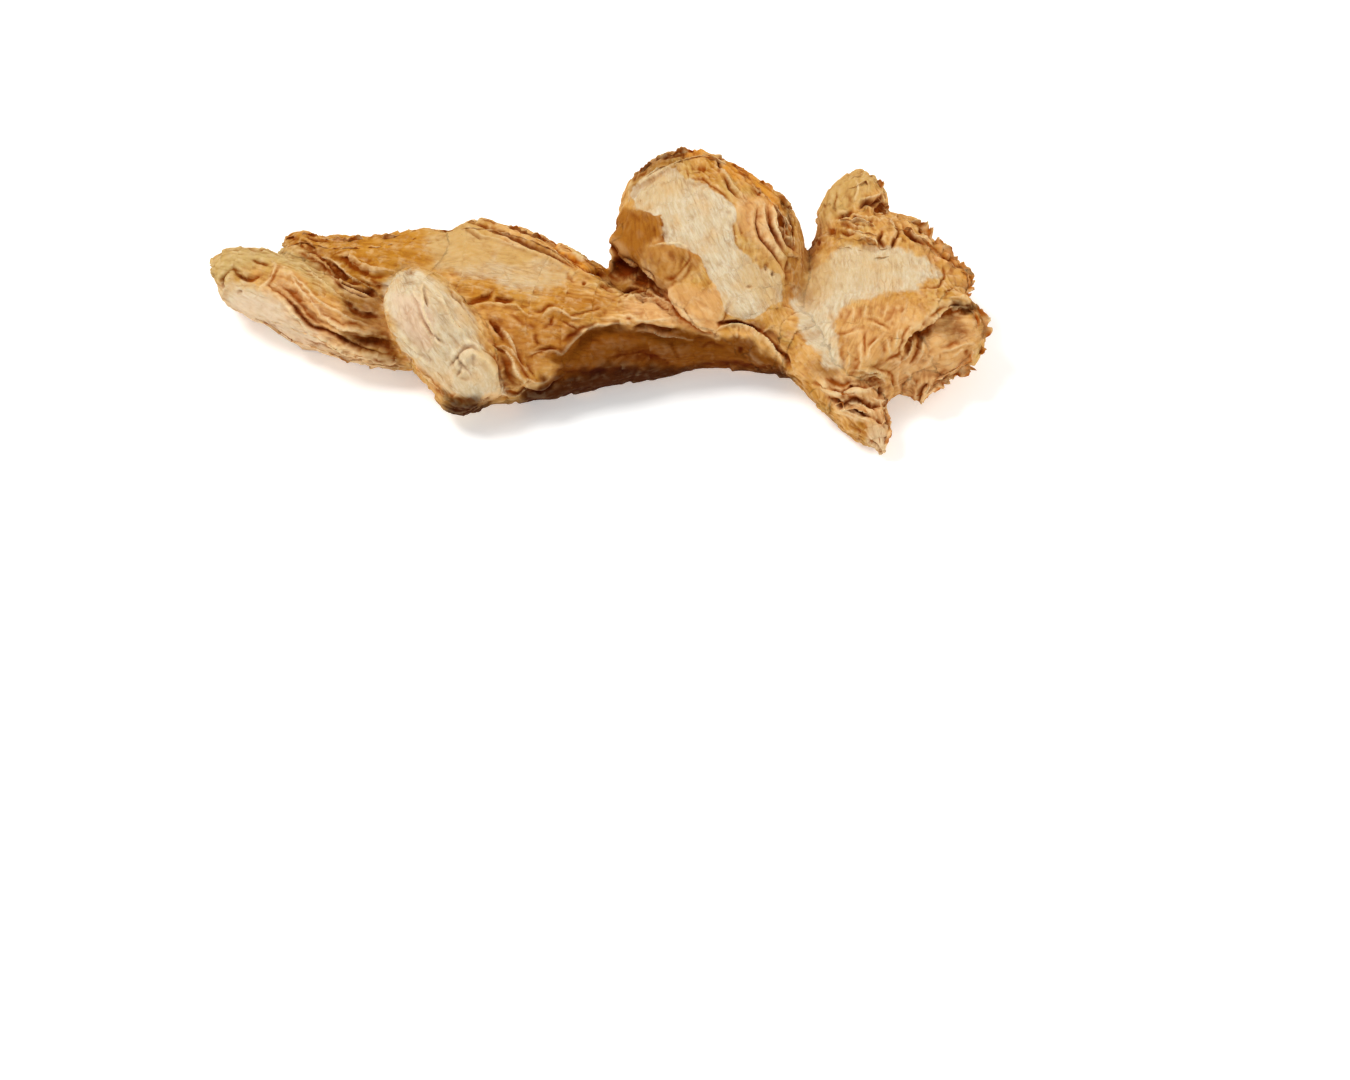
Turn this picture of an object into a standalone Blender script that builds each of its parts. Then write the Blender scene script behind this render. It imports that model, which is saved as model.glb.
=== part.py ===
"""A dried ginger rhizome, about 125 mm long, lying flat: one grown piece with fingers, knobs and a stub.

Metres, +Z up. The piece rests on Z = 0, and X runs along it from the left finger to the right knob.
It is drawn in millimetres as overlapping lobes, joined into one skin, and then shrivelled.
"""

import math

import bmesh
import bpy
import numpy as np
from mathutils import Matrix, Vector, noise

MM = 0.001

# The lobes and folds are drawn on a plane that leans back by this angle, the way the rhizome is
# looked at. A place on it is given as millimetres across and millimetres up; a lobe's stations add
# their height over the table.
DRAWING_LEAN = math.radians(50.0)

# Where the drawing has the part's origin: under the middle of its box, and high enough that the
# table top shaves the lowest skin flat.
ORIGIN = Vector((-0.1, -2.8, 0.9)) * MM

SKIN_COLOUR = (0.50, 0.30, 0.12, 1.0)
SKIN_ROUGHNESS = 0.85

RING_POINTS = 28
RINGS_PER_SPAN = 7
THINNEST = 0.25
SKIN_VOXEL = 0.65 * MM
BLEND_STEPS = 12
BLEND_FACTOR = 0.5
KEPT_SHARE = 0.135
TABLE_SIZE = (0.4, 0.4, 0.02)

# Shrivelling, in millimetres: long wrinkles that run along each lobe and wander, in patches, and slow
# lumps. The wrinkles are lower on the side that faces the viewer, where the folds below are.
WRINKLE_SPACING = 3.6
WRINKLE_LENGTH = 15.0
WRINKLE_HEIGHT = 0.9
WRINKLE_HEIGHT_IN_FRONT = 0.45
WANDER_SIZE = 9.0
WANDER_SHARE = 0.5
PATCH_SIZE = 14.0
LUMP_SIZE = 11.0
LUMP_HEIGHT = 0.7

# The folds fade out where the skin turns away from the viewer: none under FOLD_FROM, all over
# FOLD_FULL, where 1 is straight at the viewer.
FOLD_FROM = 0.10
FOLD_FULL = 0.45

# Each lobe: how far its flat side leans from level towards the viewer, in degrees, how boxy its
# section is (2 is an ellipse), and its stations: across, up, height, half width, half thickness.
LOBES = {
    "left_finger": (25, 2.2, [
        (-62.4, 9.2, 9.0, 0.4, 0.4),
        (-60.6, 9.2, 9.0, 4.0, 3.6),
        (-56.0, 7.9, 8.4, 5.9, 5.4),
        (-50.5, 5.6, 7.9, 6.2, 6.0),
        (-44.5, 2.9, 7.2, 6.4, 6.2),
        (-38.0, 0.4, 6.8, 5.9, 6.2),
        (-32.0, -1.6, 6.8, 5.1, 5.8),
        (-26.0, -3.0, 7.4, 4.0, 4.0),
    ]),
    "back_finger": (6, 2.2, [
        (-51.0, 13.4, 7.0, 0.4, 0.4),
        (-49.4, 12.8, 7.0, 3.4, 3.2),
        (-43.0, 10.2, 7.2, 5.6, 5.4),
        (-36.0, 8.2, 7.6, 7.2, 6.2),
        (-29.0, 7.4, 8.0, 9.0, 6.8),
        (-20.0, 6.0, 8.4, 9.0, 6.5),
    ]),
    "body": (4, 2.5, [
        (-30.0, 4.5, 8.0, 6.0, 5.0),
        (-24.0, 3.4, 8.2, 15.2, 7.6),
        (-17.5, 2.7, 8.2, 16.5, 8.0),
        (-9.0, 1.1, 8.2, 14.4, 7.8),
        (0.5, -0.4, 7.8, 10.3, 7.2),
        (8.5, -0.7, 7.6, 7.1, 6.6),
        (16.5, -0.6, 7.4, 6.1, 6.2),
        (26.0, -0.9, 7.4, 5.9, 5.9),
        (34.0, -2.6, 7.2, 5.6, 5.2),
        (38.0, -3.6, 7.2, 3.0, 3.0),
    ]),
    "front_finger": (60, 2.1, [
        (-31.8, 8.8, 19.6, 0.4, 0.4),
        (-30.8, 7.6, 19.0, 3.8, 3.4),
        (-28.2, 3.8, 17.0, 5.8, 5.2),
        (-25.2, -0.8, 13.8, 6.1, 5.6),
        (-22.0, -5.4, 10.4, 6.4, 5.8),
        (-19.4, -10.0, 7.2, 6.2, 5.6),
        (-18.2, -12.4, 6.0, 4.4, 3.8),
    ]),
    "upright_lobe": (25, 2.3, [
        (27.0, -2.0, 8.0, 5.0, 5.0),
        (23.8, 3.0, 9.6, 10.8, 7.0),
        (20.2, 9.5, 12.0, 13.8, 8.2),
        (16.6, 16.0, 14.4, 14.2, 8.2),
        (15.2, 21.6, 16.4, 12.0, 7.0),
        (14.8, 26.2, 18.0, 7.4, 4.8),
        (14.8, 28.4, 18.6, 2.0, 1.6),
    ]),
    "side_flap": (35, 2.0, [
        (12.0, 10.4, 13.6, 6.0, 3.4),
        (6.5, 12.4, 14.8, 5.6, 2.8),
        (3.4, 13.8, 15.6, 3.8, 1.8),
        (1.6, 14.8, 16.0, 0.8, 0.8),
    ]),
    "right_lobe": (3, 2.4, [
        (37.0, -11.0, 6.2, 3.0, 3.0),
        (40.5, -6.0, 7.2, 9.0, 6.6),
        (44.0, 0.2, 7.8, 12.2, 7.8),
        (45.0, 6.0, 8.0, 13.2, 8.0),
        (43.1, 12.0, 8.0, 10.6, 7.4),
        (41.8, 16.0, 8.6, 6.6, 5.6),
        (41.4, 18.4, 9.4, 2.0, 1.6),
    ]),
    "corner_bud": (10, 2.1, [
        (46.0, 4.0, 8.6, 6.0, 5.0),
        (53.2, 6.8, 8.6, 5.2, 5.0),
        (57.6, 8.0, 8.8, 3.4, 3.2),
        (59.8, 8.4, 8.8, 0.8, 0.8),
    ]),
    "top_bud": (15, 2.1, [
        (40.8, 12.0, 10.4, 4.0, 4.0),
        (41.0, 17.0, 11.0, 5.6, 5.0),
        (42.0, 21.0, 11.6, 5.2, 4.6),
        (43.0, 24.2, 12.0, 3.2, 2.8),
        (43.4, 25.6, 12.2, 0.4, 0.4),
    ]),
    "right_knob": (10, 2.2, [
        (46.0, -2.0, 8.0, 6.0, 5.0),
        (52.6, -1.4, 8.2, 7.8, 5.8),
        (57.8, -0.6, 8.4, 6.4, 5.2),
        (60.8, 0.0, 8.4, 3.8, 3.4),
        (62.2, 0.2, 8.4, 0.6, 0.6),
    ]),
    "spur": (10, 2.0, [
        (50.0, -4.0, 7.0, 5.0, 4.6),
        (51.4, -8.6, 5.8, 3.2, 3.0),
        (51.8, -12.6, 5.0, 0.6, 0.6),
    ]),
    "stalk_stub": (10, 2.1, [
        (34.4, -4.4, 7.6, 5.0, 5.0),
        (38.8, -9.2, 6.6, 5.2, 5.2),
        (41.8, -13.4, 5.2, 4.2, 4.2),
        (43.8, -16.8, 4.2, 2.8, 3.2),
        (45.2, -20.4, 3.2, 0.8, 1.2),
    ]),
}

# Folds of the skin on the side that faces the viewer: height of the step, how wide the step is,
# how far the raised skin reaches behind it, and the line as (across, up). The skin to the left of
# the line's direction is the raised one. A negative height is a crease with no raised side.
FOLDS = [
    (0.9, 1.2, 2.2,
     [(-31.6, -5.8), (-35.2, -3.7), (-41.6, -2.4), (-46.1, 0.8), (-49.7, 4.8), (-52.9, 6.8)]),
    (0.8, 1.2, 2.0, [(-34.4, -0.8), (-40.8, 1.6), (-44.0, 4.8), (-47.3, 8.9), (-50.8, 11.0)]),
    (-1.3, 1.1, 0, [(-49.7, 14.0), (-46.5, 11.6), (-43.2, 8.4), (-40.8, 5.3), (-38.4, 3.5), (-34.8, 1.9)]),
    (0.9, 1.1, 1.6, [(-34.8, 4.7), (-39.7, 6.3), (-42.4, 8.5), (-44.8, 11.0), (-47.3, 12.9)]),
    (0.9, 1.1, 1.6, [(-34.5, 8.5), (-37.4, 9.7), (-39.7, 11.8), (-40.8, 14.0)]),
    (-0.8, 1.0, 0, [(-52.6, 11.0), (-52.9, 9.0), (-54.5, 7.9), (-56.9, 7.9), (-58.4, 9.0)]),
    (0.6, 1.2, 2.0, [(-21.9, -5.2), (-23.9, -2.4), (-26.3, 1.6), (-27.4, 4.8), (-27.9, 7.3)]),
    (0.9, 1.2, 1.8,
     [(-15.2, -10.0), (-15.2, -6.8), (-16.8, -4.0), (-19.4, -2.7), (-21.8, -4.0), (-22.6, -6.8)]),
    (1.2, 1.4, 2.6, [(-5.3, -8.7), (-8.5, -9.4), (-11.0, -8.1), (-12.6, -5.6), (-13.9, -2.4)]),
    (1.3, 1.4, 3.0,
     [(-5.3, -3.9), (-2.9, -1.5), (0.3, 0.2), (4.4, 0.6), (8.4, -0.2), (13.2, -0.6), (18.4, -1.8)]),
    (0.9, 1.3, 2.6, [(-9.4, 0.6), (-6.8, 1.8), (-3.7, 1.9), (-0.3, 1.9), (3.5, 3.9), (6.8, 4.8)]),
    (-0.8, 1.2, 0, [(-19.7, 3.9), (-15.8, 4.7), (-12.6, 3.2), (-8.5, 1.6)]),
    (1.1, 1.3, 2.4, [(31.3, -6.5), (29.4, -4.7), (27.1, -3.1), (24.5, -1.3), (22.1, -0.8), (19.0, -1.6)]),
    (-1.1, 1.0, 0, [(19.7, 0.6), (23.7, 0.8), (26.5, -0.6), (28.9, -2.6), (31.3, -4.2)]),
    (1.0, 1.2, 1.6,
     [(5.2, 5.3), (1.1, 7.3), (-3.7, 10.3), (-8.1, 12.9), (-12.6, 15.2), (-17.4, 16.8), (-22.3, 17.6)]),
    (1.1, 1.1, 1.4, [(30.3, 9.4), (28.4, 12.1), (26.5, 14.5), (25.6, 16.9), (25.8, 20.5)]),
    (1.1, 1.1, 1.2, [(31.6, 12.6), (30.2, 14.5), (29.0, 16.9), (29.2, 19.7)]),
    (0.7, 1.2, 2.4, [(24.2, 11.0), (22.6, 12.9), (21.8, 16.1), (23.1, 18.5), (22.1, 21.3), (19.7, 24.2)]),
    (0.7, 1.2, 1.6, [(21.0, 20.2), (19.0, 22.6), (17.3, 24.2), (14.8, 24.5), (13.2, 26.6)]),
    (-2.6, 2.0, 0, [(0.3, 11.4), (3.2, 8.6), (6.8, 6.4), (10.0, 5.0)]),
    (1.1, 1.4, 3.6, [(10.2, 6.5), (11.9, 4.0), (14.0, 1.6), (16.5, -0.2), (19.0, -1.5)]),
    (0.8, 1.3, 1.8, [(43.1, -6.0), (41.9, -3.2), (42.6, -0.8)]),
    (0.9, 1.3, 1.8, [(42.4, -7.6), (43.5, -5.6), (45.2, -2.4), (45.5, 0.8)]),
    (0.8, 1.3, 1.8, [(46.3, -4.8), (47.6, -1.6), (47.4, 1.6)]),
    (0.8, 1.3, 1.6, [(40.6, -6.8), (38.7, -4.8), (37.7, -2.4), (37.4, 0.8)]),
    (1.7, 1.5, 2.8,
     [(47.1, -5.5), (48.4, -3.2), (49.5, -1.3), (51.9, 0.6), (54.0, 2.3), (55.8, 3.4), (60.3, 4.2)]),
    (1.0, 1.2, 1.8, [(38.7, 15.8), (41.0, 14.7), (43.9, 14.5), (46.5, 13.7), (49.0, 14.5)]),
    (1.0, 1.2, 1.8, [(49.5, 17.4), (50.6, 15.3), (52.7, 13.7), (56.0, 11.0), (58.7, 9.7)]),
    (-1.2, 1.2, 0, [(35.8, -8.4), (39.0, -9.5), (42.3, -8.2), (45.8, -9.0)]),
    (-1.0, 1.1, 0, [(37.4, -11.8), (40.6, -13.0), (42.9, -12.4), (45.2, -13.0)]),
    (1.0, 1.2, 1.8, [(53.2, -10.8), (54.2, -8.4), (56.0, -6.9), (58.7, -7.4)]),
]

# Hollows on the same side: depth, radius and place.
HOLLOWS = [
    (2.0, 1.4, (-30.4, 8.0)),
    (0.8, 1.6, (-55.4, 9.6)),
    (0.9, 3.0, (57.4, -0.2)),
    (1.0, 1.5, (45.6, 19.4)),
    (0.8, 1.8, (2.6, 4.6)),
]


def placed(across, up, height):
    """The point of the row frame, in millimetres, that the drawing plane shows there at that height."""
    depth = (up - height * math.cos(DRAWING_LEAN)) / math.sin(DRAWING_LEAN)
    return np.array([across, depth, height])


def seen(points):
    """Where the drawing plane shows each of these points, as (across, up)."""
    up = points[:, 1] * math.sin(DRAWING_LEAN) + points[:, 2] * math.cos(DRAWING_LEAN)
    return np.column_stack([points[:, 0], up])


def smooth_rows(rows, per_span):
    """Rows of numbers joined by a Catmull-Rom curve, with per_span samples between two given rows."""
    rows = np.asarray(rows, float)
    padded = np.vstack([2 * rows[0] - rows[1], rows, 2 * rows[-1] - rows[-2]])
    out = []
    for i in range(1, len(rows)):
        a, b, c, d = padded[i - 1:i + 3]
        for t in np.arange(per_span) / per_span:
            out.append(0.5 * (2 * b + (c - a) * t + (2 * a - 5 * b + 4 * c - d) * t ** 2
                              + (3 * b - a - 3 * c + d) * t ** 3))
    out.append(rows[-1])
    return np.array(out)


def lobe_frame(lean, stations):
    """Centres, sideways and outward directions, and radii along one lobe, in millimetres."""
    rows = smooth_rows([[*placed(*s[:3]), s[3], s[4]] for s in stations], RINGS_PER_SPAN)
    tangents = np.gradient(rows[:, :3], axis=0)
    tangents /= np.linalg.norm(tangents, axis=1)[:, None]
    face_from = np.array([0.0, -math.sin(math.radians(lean)), math.cos(math.radians(lean))])
    sides = np.cross(tangents, face_from)
    sides /= np.linalg.norm(sides, axis=1)[:, None]
    return rows[:, :3], tangents, sides, np.cross(sides, tangents), np.maximum(rows[:, 3:], THINNEST)


def loft(points, faces, lean, boxiness, stations):
    """Adds one closed lobe: rings of a soft box section along its curve, closed at each end."""
    angles = np.arange(RING_POINTS) * 2 * math.pi / RING_POINTS
    across = np.sign(np.cos(angles)) * np.abs(np.cos(angles)) ** (2 / boxiness)
    through = np.sign(np.sin(angles)) * np.abs(np.sin(angles)) ** (2 / boxiness)
    first = len(points)
    centres, _, sides, outs, radii = lobe_frame(lean, stations)
    for centre, side, out, (half_width, half_depth) in zip(centres, sides, outs, radii):
        points.extend(centre + side * half_width * x + out * half_depth * y
                      for x, y in zip(across, through))
    for low in range(first, first + (len(centres) - 1) * RING_POINTS, RING_POINTS):
        high = low + RING_POINTS
        for j in range(RING_POINTS):
            k = (j + 1) % RING_POINTS
            faces.append((low + j, high + j, high + k, low + k))
    last = first + (len(centres) - 1) * RING_POINTS
    faces.append(tuple(range(first, first + RING_POINTS)))
    faces.append(tuple(reversed(range(last, last + RING_POINTS))))


def rough_lobes():
    """All the lobes as overlapping closed shells in one mesh."""
    points, faces = [], []
    for lean, boxiness, stations in LOBES.values():
        loft(points, faces, lean, boxiness, stations)
    mesh = bpy.data.meshes.new("rough_lobes")
    mesh.from_pydata([Vector(p) * MM for p in points], [], faces)
    mesh.update()
    return mesh


def joined_skin():
    """One even skin over the lobes, with the creases between them softened, as a plain mesh."""
    lobes = bpy.data.objects.new("lobes", rough_lobes())
    bpy.context.scene.collection.objects.link(lobes)
    skin = lobes.modifiers.new("one skin over the lobes", "REMESH")
    skin.mode = "VOXEL"
    skin.voxel_size = SKIN_VOXEL
    blend = lobes.modifiers.new("soft joins", "SMOOTH")
    blend.factor = BLEND_FACTOR
    blend.iterations = BLEND_STEPS
    graph = bpy.context.evaluated_depsgraph_get()
    mesh = bpy.data.meshes.new_from_object(lobes.evaluated_get(graph))
    bpy.data.objects.remove(lobes)
    return mesh


def lobe_places(points):
    """Where each point lies on its nearest lobe: around it, as a point on a circle, and along it."""
    nearest = np.full(len(points), np.inf)
    around = np.zeros((len(points), 2))
    along = np.zeros(len(points))
    start = 0.0
    for lean, _, stations in LOBES.values():
        centres, tangents, sides, outs, radii = lobe_frame(lean, stations)
        length = np.concatenate([[0], np.cumsum(np.linalg.norm(np.diff(centres, axis=0), axis=1))])
        for centre, tangent, side, out, radius, s in zip(centres, tangents, sides, outs, radii, length):
            away = points - centre
            x, y, z = away @ side, away @ out, away @ tangent
            size = radius.mean()
            distance = np.sqrt((x / radius[0]) ** 2 + (y / radius[1]) ** 2 + (z / size) ** 2)
            closer = distance < nearest
            nearest[closer] = distance[closer]
            spread = np.hypot(x[closer], y[closer]) + 1e-6
            around[closer] = np.column_stack([x[closer], y[closer]]) / spread[:, None] * size
            along[closer] = start + s + z[closer]
        start += length[-1] + 50.0
    return around, along


def noise_at(rows):
    return np.array([noise.noise(Vector(row)) for row in rows])


def wrinkles(points, facing):
    """Sharp-crested ridges that run along each lobe and wander, as heights in millimetres."""
    around, along = lobe_places(points)
    wander = noise_at(points / WANDER_SIZE) * WANDER_SHARE
    rows = np.column_stack([around / WRINKLE_SPACING, along / WRINKLE_LENGTH]) + wander[:, None]
    ridge = 0.4 - 2.2 * np.abs(noise_at(rows))
    patch = np.clip(0.65 + 0.7 * noise_at(points / PATCH_SIZE), 0.25, 1.2)
    in_front = np.clip(facing, 0, 1)
    height = WRINKLE_HEIGHT + (WRINKLE_HEIGHT_IN_FRONT - WRINKLE_HEIGHT) * in_front
    return height * ridge * patch


def line_places(places, line):
    """Signed distance of each (across, up) from a line, positive to its left, and how far along it."""
    line = np.asarray(line, float)
    spans = np.linalg.norm(np.diff(line, axis=0), axis=1)
    starts = np.concatenate([[0], np.cumsum(spans)])
    best = np.full(len(places), np.inf)
    signed = np.zeros(len(places))
    share = np.zeros(len(places))
    for a, b, span, start in zip(line[:-1], line[1:], spans, starts):
        direction = (b - a) / span
        away = places - a
        t = np.clip(away @ direction, 0, span)
        gap = away - t[:, None] * direction
        distance = np.linalg.norm(gap, axis=1)
        closer = distance < best
        best[closer] = distance[closer]
        side = direction[0] * gap[:, 1] - direction[1] * gap[:, 0]
        signed[closer] = (np.sign(side) * distance)[closer]
        share[closer] = ((start + t) / starts[-1])[closer]
    return signed, share


def folds(points, facing):
    """The steps, creases and hollows, as heights in millimetres, on the side that faces the viewer."""
    places = seen(points)
    total = np.zeros(len(points))
    for height, width, reach, line in FOLDS:
        signed, share = line_places(places, line)
        fade = np.sqrt(np.sin(math.pi * np.clip(share, 0.02, 0.98)))
        if height < 0:
            profile = -np.exp(-(signed / width) ** 2)
        else:
            step = 1 / (1 + np.exp(-signed * 4 / width))
            back = np.exp(-np.maximum(signed, 0) / reach)
            groove = 0.5 * np.exp(-((signed + 0.9 * width) / (0.7 * width)) ** 2)
            profile = step * back - groove
        total += abs(height) * fade * profile
    for depth, radius, centre in HOLLOWS:
        away = np.linalg.norm(places - centre, axis=1)
        total -= depth * np.exp(-(away / radius) ** 2)
    return total * np.clip((facing - FOLD_FROM) / (FOLD_FULL - FOLD_FROM), 0, 1)


def shrivelled(mesh):
    """Moves the skin along its normals by its lumps, wrinkles and folds."""
    count = len(mesh.vertices)
    points = np.empty(count * 3)
    normals = np.empty(count * 3)
    mesh.vertices.foreach_get("co", points)
    mesh.vertex_normals.foreach_get("vector", normals)
    points = points.reshape(-1, 3) / MM
    normals = normals.reshape(-1, 3)
    towards = np.array([0.0, -math.cos(DRAWING_LEAN), math.sin(DRAWING_LEAN)])
    facing = normals @ towards
    height = LUMP_HEIGHT * noise_at(points / LUMP_SIZE)
    height += wrinkles(points, facing)
    height += folds(points, facing)
    points += normals * height[:, None]
    mesh.vertices.foreach_set("co", (points * MM).ravel())
    mesh.update()
    return mesh


def table_block():
    """A guide block under the table top, which cuts the flat spots that the rhizome rests on."""
    shape = bmesh.new()
    bmesh.ops.create_cube(shape, size=1.0)
    bmesh.ops.scale(shape, vec=TABLE_SIZE, verts=shape.verts)
    bmesh.ops.translate(shape, vec=(0, 0, -TABLE_SIZE[2] / 2), verts=shape.verts)
    mesh = bpy.data.meshes.new("table_block")
    shape.to_mesh(mesh)
    shape.free()
    block = bpy.data.objects.new("table_block", mesh)
    bpy.context.scene.collection.objects.link(block)
    block.hide_render = True
    block.display_type = "WIRE"
    return block


def dried_skin():
    material = bpy.data.materials.new("dried_skin")
    material.use_nodes = True
    shader = material.node_tree.nodes["Principled BSDF"]
    shader.inputs["Base Color"].default_value = SKIN_COLOUR
    shader.inputs["Roughness"].default_value = SKIN_ROUGHNESS
    shader.inputs["Metallic"].default_value = 0.0
    return material


def clear_scene():
    for obj in list(bpy.data.objects):
        bpy.data.objects.remove(obj)


def main():
    clear_scene()
    mesh = shrivelled(joined_skin())
    mesh.transform(Matrix.Translation(-ORIGIN))
    mesh.materials.append(dried_skin())
    rhizome = bpy.data.objects.new("rhizome", mesh)
    bpy.context.scene.collection.objects.link(rhizome)
    fewer = rhizome.modifiers.new("fewer faces", "DECIMATE")
    fewer.ratio = KEPT_SHARE
    cut = rhizome.modifiers.new("flat where it rests", "BOOLEAN")
    cut.operation = "DIFFERENCE"
    cut.object = table_block()


main()
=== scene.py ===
# %% [markdown]
# # A dried ginger rhizome
#
# The object is one grown piece: a fleshy root stock with fingers and knobs that was sliced, dried and
# left to shrivel. Its skin has drawn into lips, ridges and creases, and where the skin tore or was
# scraped off, paler flesh shows.
#
# The solid that is loaded here has the lobes and the large folds at their real size. This script
# keeps that form and grows the fine surface on it. It could be sculpted by hand or displaced with a
# texture, but both are hard to repeat exactly. So the folds are drawn as lines, the way a draughtsman
# would draw them, and each line raises or sinks the skin around it.

import math

import bpy
import numpy as np
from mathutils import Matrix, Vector, noise
from mathutils.bvhtree import BVHTree
from mathutils.kdtree import KDTree


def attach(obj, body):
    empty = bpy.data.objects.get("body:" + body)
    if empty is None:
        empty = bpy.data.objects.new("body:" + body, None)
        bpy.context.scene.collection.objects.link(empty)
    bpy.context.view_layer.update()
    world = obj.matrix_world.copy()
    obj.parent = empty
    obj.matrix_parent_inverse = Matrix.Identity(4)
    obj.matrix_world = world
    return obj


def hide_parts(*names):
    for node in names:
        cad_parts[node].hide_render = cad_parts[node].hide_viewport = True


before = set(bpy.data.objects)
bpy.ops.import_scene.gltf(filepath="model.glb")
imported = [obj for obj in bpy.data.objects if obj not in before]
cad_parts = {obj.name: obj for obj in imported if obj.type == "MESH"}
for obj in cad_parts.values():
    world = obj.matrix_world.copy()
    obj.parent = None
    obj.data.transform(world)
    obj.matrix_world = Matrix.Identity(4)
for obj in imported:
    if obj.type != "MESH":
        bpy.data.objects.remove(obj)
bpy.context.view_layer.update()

# %% [markdown]
# ## The plane that the skin is drawn on
#
# The rhizome lies flat and is looked at from 50 degrees above the table. Every fold below is given as
# a place on a plane that faces that view: millimetres across and millimetres up. Working in the
# plane of view keeps the drawing readable, because a fold has the place where the eye finds it.
#
# All the shaping is done in millimetres with numpy arrays, which is far quicker than visiting every
# vertex in Python, and only turned to metres when it is written back to the mesh.

# %% The drawing plane
MM = 0.001
VIEW_HEIGHT = math.radians(50.0)
ACROSS = np.array([1.0, 0.0, 0.0])
UPWARD = np.array([0.0, math.sin(VIEW_HEIGHT), math.cos(VIEW_HEIGHT)])
TOWARDS = np.array([0.0, -math.cos(VIEW_HEIGHT), math.sin(VIEW_HEIGHT)])

# Where the plane has the part's origin, in millimetres.
DRAWING_ORIGIN = np.array([-0.1, -2.8, 0.9])


def drawn_at(points):
    """Where the drawing plane shows each of these points, as (across, up)."""
    moved = points + DRAWING_ORIGIN
    return np.column_stack([moved @ ACROSS, moved @ UPWARD])


print("the view looks down at", math.degrees(VIEW_HEIGHT), "degrees")

# %% [markdown]
# ## An even skin to work on
#
# The solid has facets a millimetre or two wide. A voxel remesh lays an even net of small faces over
# it, and a smoothing pass rounds the facets off. The net is fine enough, a third of a millimetre,
# that a fold can be bent out of it. Subdividing the facets would give as many faces, but long thin
# ones that crumple badly.

# %% Helpers that read, change and write a mesh
SMOOTHING_FACTOR = 0.5


def placed(name, data):
    """A new object in the scene that shows this mesh, light or camera."""
    thing = bpy.data.objects.new(name, data)
    bpy.context.scene.collection.objects.link(thing)
    return thing


def plain_mesh(worker):
    """The mesh that an object's modifiers give. The object goes, and its modifiers with it."""
    graph = bpy.context.evaluated_depsgraph_get()
    result = bpy.data.meshes.new_from_object(worker.evaluated_get(graph))
    bpy.data.objects.remove(worker)
    return result


def after(mesh, *steps):
    """A new mesh: this one after these modifiers, each given as its type and its settings."""
    worker = placed("worker", mesh)
    for kind, settings in steps:
        step = worker.modifiers.new(kind.lower(), kind)
        for name, value in settings.items():
            setattr(step, name, value)
    return plain_mesh(worker)


def smoothing(steps):
    return "SMOOTH", {"factor": SMOOTHING_FACTOR, "iterations": steps}


def remesh(voxel):
    return "REMESH", {"mode": "VOXEL", "voxel_size": voxel}


def points_of(mesh):
    """The mesh's points in millimetres, and its normals."""
    points = np.empty(len(mesh.vertices) * 3)
    normals = np.empty(len(mesh.vertices) * 3)
    mesh.vertices.foreach_get("co", points)
    mesh.vertex_normals.foreach_get("vector", normals)
    return points.reshape(-1, 3) / MM, normals.reshape(-1, 3)


def move_points(mesh, points):
    mesh.vertices.foreach_set("co", (points * MM).ravel())
    mesh.update()


# %% The even skin
WELD_DISTANCE = 0.01 * MM
FIRST_VOXEL = 0.33 * MM
ROUNDING_STEPS = 16

skin = after(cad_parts["rhizome"].data.copy(), ("WELD", {"merge_threshold": WELD_DISTANCE}),
             remesh(FIRST_VOXEL), smoothing(ROUNDING_STEPS))
print("even skin:", len(skin.vertices), "points")

# %% [markdown]
# ## Which way each lobe grows
#
# Dried skin wrinkles along the finger that it covers, so the script has to know which way each
# finger runs. The lobes are the ones that the solid was made from, here with fewer stations: the
# spine of each, as across, up, height over the table, half width and half thickness, and how far its
# flat side leans towards the viewer. Every point of the skin finds its nearest lobe, and takes its
# place around it and along it as coordinates of its own. At a lobe's tip all lines would run together
# in one point, like the gores of an umbrella, so the ring may not shrink below half the lobe's size.

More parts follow.
